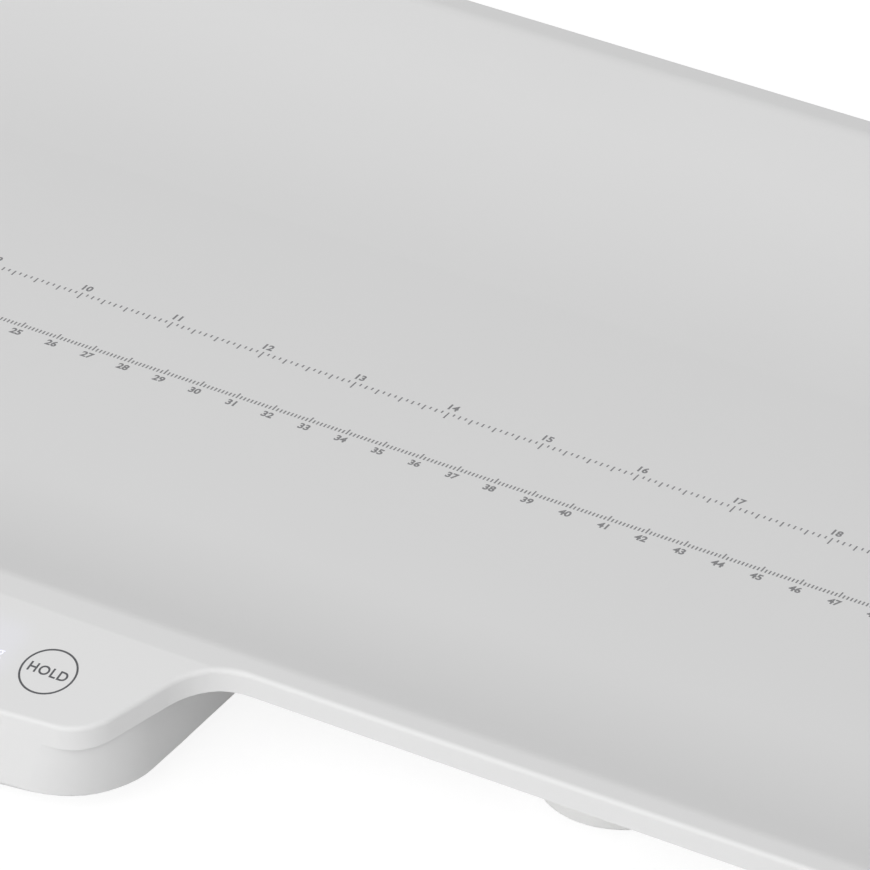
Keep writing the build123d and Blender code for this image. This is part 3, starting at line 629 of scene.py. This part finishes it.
def lit_segments():
    """LED light through the thin skin."""
    # soft white light with a violet tinge, a little uneven as the skin's thickness varies
    grain_mm, uneven_share = 2.0, 0.1
    glow = bpy.context.scene.scale_glow
    material, tree, output = new_material("lit_display_segment")
    place = add_node(tree, "TexCoord").outputs["Object"]
    uneven = add_node(tree, "TexNoise", {"Vector": place, "Scale": grain_scale(grain_mm)})
    power = add_node(tree, "MapRange", {
        "Value": uneven.outputs["Fac"],
        "To Min": glow.segment_power * (1 - uneven_share),
        "To Max": glow.segment_power * (1 + uneven_share),
    })
    shader = add_node(tree, "BsdfPrincipled", {
        "Base Color": bpy.context.scene.scale_finish.tray_colour,
        "Roughness": 0.5,
        "Emission Color": glow.lit_colour,
        "Emission Strength": power.outputs["Result"],
    })
    tree.links.new(shader.outputs["BSDF"], output.inputs["Surface"])
    return material


class SCALE_OT_display_light(bpy.types.Operator):
    """Lights the reading and its unit, which show through the skin of the panel"""

    bl_idname = "baby_scale.display_light"
    bl_label = "Display light"

    def execute(self, context):
        film = 0.02 * MM
        lit = lit_segments()
        place = surface_frame(0, PANEL_Y)
        segments = bmesh.new()
        long, high, wide, slant = 5.6 * MM, 10.4 * MM, 1.1 * MM, 0.1
        dot_x, dot_y, dot = 0.0, -high / 2, 0.7 * MM
        unit_high, unit_place = 4.2 * MM, (23.5 * MM, 0.4 * MM, 0)
        for middle in (-5.6 * MM, 5.6 * MM, 16.0 * MM):
            bars = [(0, side * high / 2, long / 2, wide / 2) for side in (-1, 1)]
            bars += [
                (sx * (long / 2 + wide / 2), sy * high / 4, wide / 2, high / 4 - wide / 2)
                for sx in (-1, 1) for sy in (-1, 1)
            ]
            for x, y, half_x, half_y in bars:
                x += middle + y * slant
                tip = min(half_x, half_y)
                if half_x > half_y:
                    outline = [(x - half_x, y), (x - half_x + tip, y - half_y),
                               (x + half_x - tip, y - half_y), (x + half_x, y),
                               (x + half_x - tip, y + half_y), (x - half_x + tip, y + half_y)]
                else:
                    outline = [(x, y - half_y - tip), (x + half_x, y - half_y),
                               (x + half_x, y + half_y), (x, y + half_y + tip),
                               (x - half_x, y + half_y), (x - half_x, y - half_y)]
                add_slab(segments, outline, -film / 3, film)
        corners = [(math.cos(a), math.sin(a)) for a in (math.pi * k / 6 for k in range(12))]
        outline = [(dot_x + dot * c, dot_y + dot * s) for c, s in corners]
        add_slab(segments, outline, -film / 3, film)
        reading = to_mesh("display_reading", segments)
        reading.transform(place)
        piece("display_reading", reading, lit, "base")
        unit = word_mesh("kg", unit_high, film)
        unit.transform(place @ Matrix.Translation(unit_place))
        piece("display_unit", unit, lit, "base")
        return {"FINISHED"}


# ---- parts inside and underneath ----
def loose_parts(node):
    """Lowest and highest corner of each separate solid of a CAD node, from -X to +X."""
    shape = bmesh.new()
    shape.from_mesh(nodes[node].data)
    bmesh.ops.remove_doubles(shape, verts=shape.verts[:], dist=1e-6)
    left = set(shape.verts)
    found = []
    while left:
        group, edge = [], [left.pop()]
        while edge:
            vert = edge.pop()
            group.append(vert.co)
            for link in vert.link_edges:
                other = link.other_vert(vert)
                if other in left:
                    left.remove(other)
                    edge.append(other)
        found.append((
            Vector([min(co[i] for co in group) for i in range(3)]),
            Vector([max(co[i] for co in group) for i in range(3)]),
        ))
    shape.free()
    return sorted(found, key=lambda part: (round(part[0].x, 4), round(part[0].y, 4)))


def bay_places(parts, inset=0.0):
    """Where each part in the battery bay starts; the back row points to +X, the front row to -X."""
    middle_y = sum(low.y + high.y for low, high in parts) / (2 * len(parts))
    places = []
    for low, high in parts:
        middle = (low + high) / 2
        if middle.y > middle_y:
            turn, start = Matrix.Rotation(math.radians(90), 4, "Y"), low.x + inset
        else:
            turn, start = Matrix.Rotation(math.radians(-90), 4, "Y"), high.x - inset
        places.append(Matrix.Translation((start, middle.y, middle.z)) @ turn)
    return places


def cut_out(mesh, cutter, name):
    """A mesh with another one taken out of it."""
    held = bpy.data.objects.new(name, mesh)
    knife = bpy.data.objects.new(name + "_knife", cutter)
    for thing in (held, knife):
        bpy.context.scene.collection.objects.link(thing)
    step = held.modifiers.new("cut", "BOOLEAN")
    step.operation = "DIFFERENCE"
    step.solver = "EXACT"
    step.object = knife
    result = evaluated_mesh(held)
    bpy.data.objects.remove(held)
    bpy.data.objects.remove(knife)
    result.name = name
    return result


def rolled_metal(name, colour, roughness, streak_mm):
    """Plated sheet or wire.

    Rolling leaves streaks along X, and the plating has small stains, so the reflections are
    drawn out and a little cloudy. Real streaks are too fine to show and are drawn coarser.
    """
    stretch, stain_mm, relief_mm = 0.05, 6.0, 0.003
    material, tree, output = new_material(name)
    place = add_node(tree, "TexCoord").outputs["Object"]
    drawn = add_node(tree, "Mapping", {"Vector": place, "Scale": (stretch, 1.0, 1.0)})
    streaks = add_node(tree, "TexNoise", {
        "Vector": drawn.outputs["Vector"], "Scale": grain_scale(streak_mm), "Detail": 4.0,
    })
    stains = add_node(tree, "TexNoise", {
        "Vector": place, "Scale": grain_scale(stain_mm), "Detail": 3.0,
    })
    gloss = add_node(tree, "MapRange", {
        "Value": streaks.outputs["Fac"], **NOISE_SPAN,
        "To Min": roughness - 0.06, "To Max": roughness + 0.08,
    })
    shade = add_node(tree, "MapRange", {
        "Value": stains.outputs["Fac"], **NOISE_SPAN, "To Min": 0.9, "To Max": 1.04,
    })
    tint = add_node(tree, "VectorMath", {
        0: colour, 1: shade.outputs["Result"],
    }, operation="MULTIPLY")
    relief = add_node(tree, "Bump", {
        "Height": streaks.outputs["Fac"], "Distance": relief_mm * MM, "Strength": 1.0,
    })
    shader = add_node(tree, "BsdfPrincipled", {
        "Base Color": tint.outputs["Vector"],
        "Metallic": 1.0,
        "Roughness": gloss.outputs["Result"],
        "Normal": relief.outputs["Normal"],
    })
    tree.links.new(shader.outputs["BSDF"], output.inputs["Surface"])
    return material


def solder_mask(name):
    """Green solder mask on glass laminate."""
    # glossy dark green, with the tracks under it as a lighter, raised net; real tracks are
    # finer and run everywhere, and are drawn coarser and straight so that they show
    track, long, apart, raised = 0.18 * MM, 7 * MM, 1.6 * MM, 0.035 * MM
    material, tree, output = new_material(name)
    place = add_node(tree, "TexCoord").outputs["Object"]
    tracks = add_node(tree, "TexBrick", {
        "Vector": place, "Scale": 1.0, "Mortar Size": track, "Mortar Smooth": 0.1,
        "Brick Width": long, "Row Height": apart,
        "Color1": (0.0, 0.0, 0.0), "Color2": (0.0, 0.0, 0.0), "Mortar": (1.0, 1.0, 1.0),
    })
    tint = add_node(tree, "Mix", {
        "Factor": tracks.outputs["Color"],
        6: hex_colour("0E5A2B"), 7: hex_colour("2C8045"),
    }, data_type="RGBA")
    relief = add_node(tree, "Bump", {
        "Height": tracks.outputs["Color"], "Distance": raised, "Strength": 1.0,
    })
    shader = add_node(tree, "BsdfPrincipled", {
        "Base Color": tint.outputs[2],
        "Roughness": 0.3,
        "Coat Weight": 0.3,
        "Normal": relief.outputs["Normal"],
    })
    tree.links.new(shader.outputs["BSDF"], output.inputs["Surface"])
    return material


class SCALE_OT_inner_parts(bpy.types.Operator):
    """Finishes the load cells, boards, display and the small parts around them"""

    bl_idname = "baby_scale.inner_parts"
    bl_label = "Inner parts"

    def execute(self, context):
        # stamped steel, nickel plated: warm bright grey with broad streaks
        cell = rolled_metal("nickel_plated_stamped_steel", hex_colour("B9BABB"), 0.3, 0.6)
        # zinc-plated screws: a bluish grey, duller than nickel
        zinc = rolled_metal("zinc_plated_screw_steel", hex_colour("B4B7BC"), 0.34, 0.4)
        # nickel-plated spring sheet: the brightest metal here
        contact = rolled_metal("nickel_plated_contact_steel", hex_colour("C4C3BF"), 0.24, 0.5)
        # moulded nylon: a warm white that lets a little light into its edges
        nylon = moulded_finish("natural_nylon_clamp", hex_colour("E2E1DA"), 0.42, 0.6, 0.004,
                               **{"Subsurface Weight": 0.2, "Subsurface Scale": 1.5 * MM})[0]
        # the same nylon in a small, smooth tool: creamier and glossier
        socket = moulded_finish("natural_nylon_socket", hex_colour("E6E2D2"), 0.36, 0.5, 0.003)[0]
        # silicone set by hand: soft white with a lumpy, milky skin
        potting = moulded_finish("white_silicone_potting", hex_colour("EDEDE8"), 0.55, 1.2, 0.02,
                                 **{"Subsurface Weight": 0.3, "Subsurface Scale": 1.0 * MM})[0]
        # moulded chip compound: flat black with a dusty grain
        epoxy = moulded_finish("black_epoxy_compound", hex_colour("1C1C1E"), 0.5, 0.15, 0.004)[0]
        # moulded PBT: smooth black with a soft shine
        buzzer = moulded_finish("black_pbt_buzzer", hex_colour("202124"), 0.38, 0.4, 0.004)[0]
        # small polished tool: dark grey with the sharpest shine of the plastics
        switch = moulded_finish("tactile_switch_plastic", hex_colour("2A2B2D"), 0.32, 0.3, 0.002)[0]
        # reflector moulding: clean bright white
        display = moulded_finish("white_display_moulding", hex_colour("E9E9EA"), 0.4, 0.4, 0.003)[0]
        # frosted film: milky white that lets some light through
        film = moulded_finish("milky_diffuser_film", hex_colour("EFEFF2"), 0.6, 0.2, 0.001,
                              **{"Transmission Weight": 0.15})[0]
        board = solder_mask("green_solder_mask")
        # moulded ABS: plain mid grey, a touch glossier than the cover round it
        button = moulded_finish("grey_button_abs", context.scene.scale_finish.button_colour,
                                0.42, 0.5, 0.005)[0]
        for corner in CORNERS:
            finish_node("load_cell_" + corner, cell)
            finish_node("load_cell_clamp_" + corner, nylon)
            finish_node("foot_screw_" + corner, zinc)
        for node, material in {
            "clamp_screws": zinc, "board_screws": zinc, "unit_board_screws": zinc,
            "strain_gauges": potting, "contact_plates": contact, "board_chip": epoxy,
            "buzzer": buzzer, "lead_sockets": socket, "led_display": display,
            "display_diffuser": film, "key_board": board, "unit_board": board,
            "unit_switch": switch, "switch_plunger": switch, "unit_button": button,
        }.items():
            finish_node(node, material)
        return {"FINISHED"}


class SCALE_OT_shell_screws(bpy.types.Operator):
    """Makes the cross-head screws that hold the two mouldings together"""

    bl_idname = "baby_scale.shell_screws"
    bl_label = "Shell screws"

    def execute(self, context):
        # zinc plate on a cold-headed screw: bluish grey, a little duller than the inner screws
        zinc = rolled_metal("zinc_plated_shell_screw", hex_colour("AFB2B8"), 0.36, 0.4)
        screws = loose_parts("shell_screws")
        low, high = screws[0]
        long = high.z - low.z
        head, neck, thick, pitch = 2.8 * MM, 1.3 * MM, 1.6 * MM, 1.1 * MM
        root, crown, tip = neck * 0.78, 0.55, 0.4 * MM
        recess_long, recess_wide, recess_high, recess_taper = 3.1 * MM, 0.75 * MM, 2.2 * MM, 0.55
        first_turn, turn_between = 23, 47
        # the head's crown, drawn flat in the middle and steep at its edge
        profile = [(0, 0)] + [
            (head * math.sin(a), thick * crown * (1 - math.cos(a) ** 0.7))
            for a in (math.radians(d) for d in (18, 34, 48, 60, 70, 78, 84, 90))
        ]
        profile += [(head, thick), (neck, thick)]
        for k in range(int((long - thick) / pitch)):
            z = thick + 0.4 * MM + k * pitch
            profile += [(root, z), (neck, z + 0.25 * MM), (root, z + 0.5 * MM)]
        profile += [(root, long - 0.5 * MM), (tip, long), (0, long)]
        screw = revolved("screw", profile, 36, 30)
        for turn in (0, 90):
            blade = bmesh.new()
            bmesh.ops.create_cube(blade, size=1.0)
            for vert in blade.verts:
                narrow = recess_taper if vert.co.z > 0 else 1.0
                vert.co = Vector((
                    vert.co.x * recess_long * narrow, vert.co.y * recess_wide * narrow,
                    vert.co.z * recess_high,
                ))
            spin = Matrix.Rotation(math.radians(turn), 3, "Z")
            bmesh.ops.rotate(blade, verts=blade.verts[:], cent=(0, 0, 0), matrix=spin)
            screw = cut_out(screw, to_mesh("screw_recess", blade), "screw_cut")
        places = []
        for k, (low, high) in enumerate(screws):
            middle = (low + high) / 2
            turn = Matrix.Rotation(math.radians(first_turn + turn_between * k), 4, "Z")
            places.append((screw, Matrix.Translation((middle.x, middle.y, low.z)) @ turn))
        made = merged("cross_head_screws", places, 30)
        piece("cross_head_screws", made, zinc, "base", ["shell_screws"])
        return {"FINISHED"}


class SCALE_OT_feet(bpy.types.Operator):
    """Makes the foot cups and their grooved rubber pads"""

    bl_idname = "baby_scale.feet"
    bl_label = "Feet"

    def execute(self, context):
        finish = context.scene.scale_finish
        # the cups' colour is whiter than the cover's: painted light that makes up for the flange's
        # shade on them
        cup_abs = spark_textured_abs("satin_abs_foot_painted_light", finish.foot_colour, finish.tray_roughness)[0]
        grooves, lead_in, pad_bevel = ((4.5, 6.0), (8.5, 10.0), (12.5, 13.8)), 0.15 * MM, 0.3 * MM
        # moulded silicone: matt and slightly uneven, it hardly reflects
        rubber = moulded_finish("moulded_silicone_pad", finish.pad_colour, 0.72, 0.3, 0.012,
                                mottle=0.03)[0]
        for corner in CORNERS:
            cup_low, cup_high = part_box("foot_cup_" + corner)
            pad_low, pad_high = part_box("foot_pad_" + corner)
            middle = (cup_low + cup_high) / 2
            place = Matrix.Translation((middle.x, middle.y, 0))
            wide = (cup_high.x - cup_low.x) / 2
            foot, floor, rim, post, top = (v * MM for v in (1.4, 3.4, 9.5, 5.5, 13.5))
            wall, bore, bore_end, bevel = (v * MM for v in (1.7, 1.25, 5.5, 0.8))
            profile = [(0, foot), (wide - bevel, foot)]
            profile += arc_points((wide - bevel, foot + bevel), bevel, -90, 0)
            profile += arc_points((wide - wall / 2, rim - wall / 2), wall / 2, 0, 180, 8)
            profile += arc_points((wide - wall - bevel, floor + bevel), bevel, 0, -90)
            profile += arc_points((post + bevel, floor + bevel), bevel, -90, -180)
            profile += arc_points((post - bevel / 2, top - bevel / 2), bevel / 2, 0, 90)
            profile += [(bore, top), (bore, bore_end), (0, bore_end)]
            cup = revolved("smooth_foot_cup_" + corner, profile, 96, 50)
            cup.transform(place)
            piece("smooth_foot_cup_" + corner, cup, cup_abs, "foot_" + corner,
                  ["foot_cup_" + corner])
            edge = (pad_high.x - pad_low.x) / 2
            thick, deep = pad_high.z, 0.5 * MM
            profile = [(0, 0)]
            for inner, outer in grooves:
                inner, outer = inner * MM, outer * MM
                profile += [(inner - lead_in, 0), (inner, lead_in), (inner, deep),
                            (outer, deep), (outer, lead_in), (outer + lead_in, 0)]
            profile += [(edge - pad_bevel, 0), (edge, pad_bevel), (edge, thick), (0, thick)]
            pad = revolved("grooved_foot_pad_" + corner, profile, 96, 35)
            pad.transform(place)
            piece("grooved_foot_pad_" + corner, pad, rubber, "foot_" + corner,
                  ["foot_pad_" + corner])
        return {"FINISHED"}


class SCALE_OT_batteries(bpy.types.Operator):
    """Makes the cells: a shrink jacket over each, with a plated cap and base"""

    bl_idname = "baby_scale.batteries"
    bl_label = "Batteries"

    def execute(self, context):
        # shrunk plastic film: dark and glossy, with soft waves in its reflections
        jacket = moulded_finish("shrink_jacket_film", context.scene.scale_finish.jacket_colour,
                                0.28, 2.0, 0.01, mottle=0.05, **{"Coat Weight": 0.4})[0]
        # deep-drawn can, nickel plated: bright and smooth
        steel = rolled_metal("nickel_plated_cell_steel", hex_colour("C9C9C8"), 0.22, 0.4)
        radius, nub, rise, lip = (v * MM for v in (5.2, 1.9, 1.0, 0.35))
        round_steps = 60
        cells = loose_parts("batteries")
        long = cells[0][1].x - cells[0][0].x - rise
        skin = radius - 0.08 * MM
        cover = [(radius - 1.1 * MM, lip / 2), (radius - 0.4 * MM, 0)]
        cover += [(radius, 0.4 * MM), (radius, long - 0.4 * MM), (radius - 0.4 * MM, long)]
        cover += [(radius - 1.1 * MM, long - lip / 2)]
        cover += [(skin - 0.9 * MM, long - lip), (skin - 0.9 * MM, lip)]
        shape = bmesh.new()
        loops = [round_loop(shape, r, z, round_steps) for r, z in cover]
        join_loops(shape, loops + loops[:1])
        sleeve = to_mesh("sleeve", shape, 35)
        core = [(0, 0.1 * MM), (radius - 1.3 * MM, 0.1 * MM), (radius - 1.0 * MM, lip)]
        core += [(radius - 1.0 * MM, long - lip), (nub + 0.5 * MM, long - 0.1 * MM)]
        core += [(nub, long), (nub, long + rise - 0.3 * MM)]
        core += [(nub - 0.3 * MM, long + rise), (0, long + rise)]
        can = revolved("can", core, round_steps, 35)
        places = bay_places(cells)
        sleeves = merged("cell_jackets", [(sleeve, place) for place in places], 35)
        cans = merged("cell_cans", [(can, place) for place in places], 35)
        piece("cell_jackets", sleeves, jacket, "base", ["batteries"])
        piece("cell_cans", cans, steel, "base", ["batteries"])
        return {"FINISHED"}


def coil_points(turns, long, base, tip, flat=0.6, steps=28):
    """Points of a coil along Z whose first and last turns lie nearly flat."""
    count = int(turns * steps)
    shelf = flat / turns
    even = 0.04               # share of the rise that is spread evenly, so that no turn is level
    points = []
    for k in range(count + 1):
        part = k / count
        angle = 2 * math.pi * turns * part
        height = min(max((part - shelf / 2) / (1 - shelf), 0), 1)
        height = even * part + (1 - even) * height
        radius = base + (tip - base) * part
        points.append(Vector((radius * math.cos(angle), radius * math.sin(angle), long * height)))
    return points


class SCALE_OT_springs(bpy.types.Operator):
    """Makes the cells' coil springs and the springs under the two touch keys"""

    bl_idname = "baby_scale.springs"
    bl_label = "Springs"

    def execute(self, context):
        # nickel-plated wire: bright warm grey
        nickel = rolled_metal("nickel_plated_spring_wire", hex_colour("C6C6C4"), 0.22, 0.2)
        # tinned wire: whiter and softer in its shine
        tinned = rolled_metal("tinned_spring_wire", hex_colour("D2D2D0"), 0.28, 0.2)
        wire, taper = 0.3 * MM, 0.66
        coils = loose_parts("battery_springs")
        placed = []
        for (low, high), place in zip(coils, bay_places(coils, wire)):
            long = high.x - low.x - 2 * wire
            base = (high.y - low.y) / 2 - wire
            points = coil_points(5, long, base, base * taper)
            placed.append((wire_tube("coil", points, wire), place))
        springs = merged("cell_coil_springs", placed, 50)
        piece("cell_coil_springs", springs, nickel, "base", ["battery_springs"])
        wire, long, radius, below_skin = 0.35 * MM, 4.18 * MM, 4.6 * MM, 7.4 * MM
        for side, node in ((-1, "touch_spring_on_off"), (1, "touch_spring_hold")):
            place = surface_frame(side * KEY_X, PANEL_Y)
            points = coil_points(4, long - 2 * wire, radius - wire, radius - wire)
            coil = wire_tube("wound_" + node, points, wire)
            coil.transform(place @ Matrix.Translation((0, 0, -below_skin + wire)))
            piece("wound_" + node, coil, tinned, "base", [node])
        return {"FINISHED"}


def seen_directly(tree):
    """Socket that is 1 for what the camera sees itself, in a mirror or through glass, else 0."""
    path = add_node(tree, "LightPath")
    seen = path.outputs["Is Camera Ray"]
    for ray in ("Is Glossy Ray", "Is Transmission Ray"):
        seen = add_node(tree, "Math", {0: seen, 1: path.outputs[ray]}, operation="MAXIMUM")
        seen = seen.outputs["Value"]
    return seen


class SCALE_OT_studio(bpy.types.Operator):
    """Sets the floor, the light and the white surroundings"""

    bl_idname = "baby_scale.studio"
    bl_label = "Studio"

    def execute(self, context):
        studio = context.scene.scale_studio
        world = bpy.data.worlds.new("white_room")
        context.scene.world = world
        world.use_nodes = True
        tree = world.node_tree
        tree.nodes.clear()
        level = add_node(tree, "MapRange", {
            "Value": seen_directly(tree), "To Min": studio.sky_power, "To Max": 1.0,
        })
        sky = add_node(tree, "Background", {
            "Color": (1, 1, 1), "Strength": level.outputs["Result"],
        })
        output = add_node(tree, "OutputWorld")
        tree.links.new(sky.outputs["Background"], output.inputs["Surface"])

        shape = bmesh.new()
        half, floor_z = 4.0, -0.02 * MM
        corners = [(-half, -half), (half, -half), (half, half), (-half, half)]
        shape.faces.new([shape.verts.new((x, y, floor_z)) for x, y in corners])
        sweep = bpy.data.objects.new("studio_floor", to_mesh("studio_floor", shape))
        context.scene.collection.objects.link(sweep)
        # matt paper: white to the camera with a soft shadow, and a plain pale floor to the scale
        material, tree, output = new_material("matt_white_paper_floor")
        paper = add_node(tree, "BsdfDiffuse", {"Color": (0.8, 0.8, 0.8)})
        shadow = add_node(tree, "BsdfDiffuse", {"Color": (0.2, 0.2, 0.2)})
        white = add_node(tree, "Emission", {"Color": (1, 1, 1), "Strength": 0.88})
        shown = add_node(tree, "AddShader", {0: shadow.outputs[0], 1: white.outputs[0]})
        both = add_node(tree, "MixShader", {
            0: seen_directly(tree), 1: paper.outputs[0], 2: shown.outputs[0],
        })
        tree.links.new(both.outputs[0], output.inputs["Surface"])
        sweep.data.materials.append(material)

        lamp = bpy.data.lights.new("soft_box", "AREA")
        lamp.shape = "RECTANGLE"
        lamp.size = 2.4
        lamp.size_y = 1.8
        lamp.energy = studio.key_power
        box = bpy.data.objects.new("soft_box", lamp)
        context.scene.collection.objects.link(box)
        towards, away = Vector((-0.17, -0.92, 0.64)).normalized(), 2.2
        box.location = towards * away
        box.rotation_euler = towards.to_track_quat("Z", "Y").to_euler()
        context.scene.view_settings.view_transform = "Standard"
        return {"FINISHED"}


class SCALE_OT_camera(bpy.types.Operator):
    """Places the camera, to the front and right of the scale and looking down on it"""

    bl_idname = "baby_scale.camera"
    bl_label = "Camera"

    def execute(self, context):
        turn, rise = math.radians(31.007), math.radians(33.17)
        aim, away = Vector((58.14 * MM, -2.49 * MM, 24.5 * MM)), 1.8895
        back = Vector((
            math.sin(turn) * math.cos(rise), -math.cos(turn) * math.cos(rise), math.sin(rise),
        ))
        data = bpy.data.cameras.new("product_camera")
        data.lens = context.scene.scale_studio.lens
        data.sensor_width = 36.0
        data.clip_start = 0.05
        data.clip_end = 50.0
        camera = bpy.data.objects.new("product_camera", data)
        context.scene.collection.objects.link(camera)
        camera.location = aim + back * away
        camera.rotation_euler = back.to_track_quat("Z", "Y").to_euler()
        context.scene.camera = camera
        return {"FINISHED"}


OPERATORS = (
    SCALE_OT_camera,
    SCALE_OT_mouldings,
    SCALE_OT_centimetre_ruler,
    SCALE_OT_inch_ruler,
    SCALE_OT_key_legends,
    SCALE_OT_display_light,
    SCALE_OT_inner_parts,
    SCALE_OT_shell_screws,
    SCALE_OT_feet,
    SCALE_OT_batteries,
    SCALE_OT_springs,
    SCALE_OT_studio,
)


class SCALE_PT_panel(bpy.types.Panel):
    bl_idname = "SCALE_PT_panel"
    bl_label = "Weighing scale"
    bl_space_type = "VIEW_3D"
    bl_region_type = "UI"
    bl_category = "Weighing scale"

    def draw(self, context):
        scene = context.scene
        for group in (scene.scale_finish, scene.scale_print, scene.scale_glow, scene.scale_studio):
            box = self.layout.box()
            for field in group.bl_rna.properties:
                if not field.is_readonly and field.identifier != "name":
                    box.prop(group, field.identifier)
        for operator in OPERATORS:
            self.layout.operator(operator.bl_idname)


GROUPS = {
    "scale_finish": ScaleFinish,
    "scale_print": ScalePrint,
    "scale_glow": ScaleGlow,
    "scale_studio": ScaleStudio,
}


def register():
    for kind in (*GROUPS.values(), *OPERATORS, SCALE_PT_panel):
        bpy.utils.register_class(kind)
    for field, kind in GROUPS.items():
        setattr(bpy.types.Scene, field, PointerProperty(type=kind))


def unregister():
    for field in GROUPS:
        delattr(bpy.types.Scene, field)
    for kind in (SCALE_PT_panel, *OPERATORS[::-1], *reversed(GROUPS.values())):
        bpy.utils.unregister_class(kind)


def main():
    register()
    for operator in OPERATORS:
        group, name = operator.bl_idname.split(".")
        getattr(getattr(bpy.ops, group), name)()


if __name__ == "__main__":
    main()
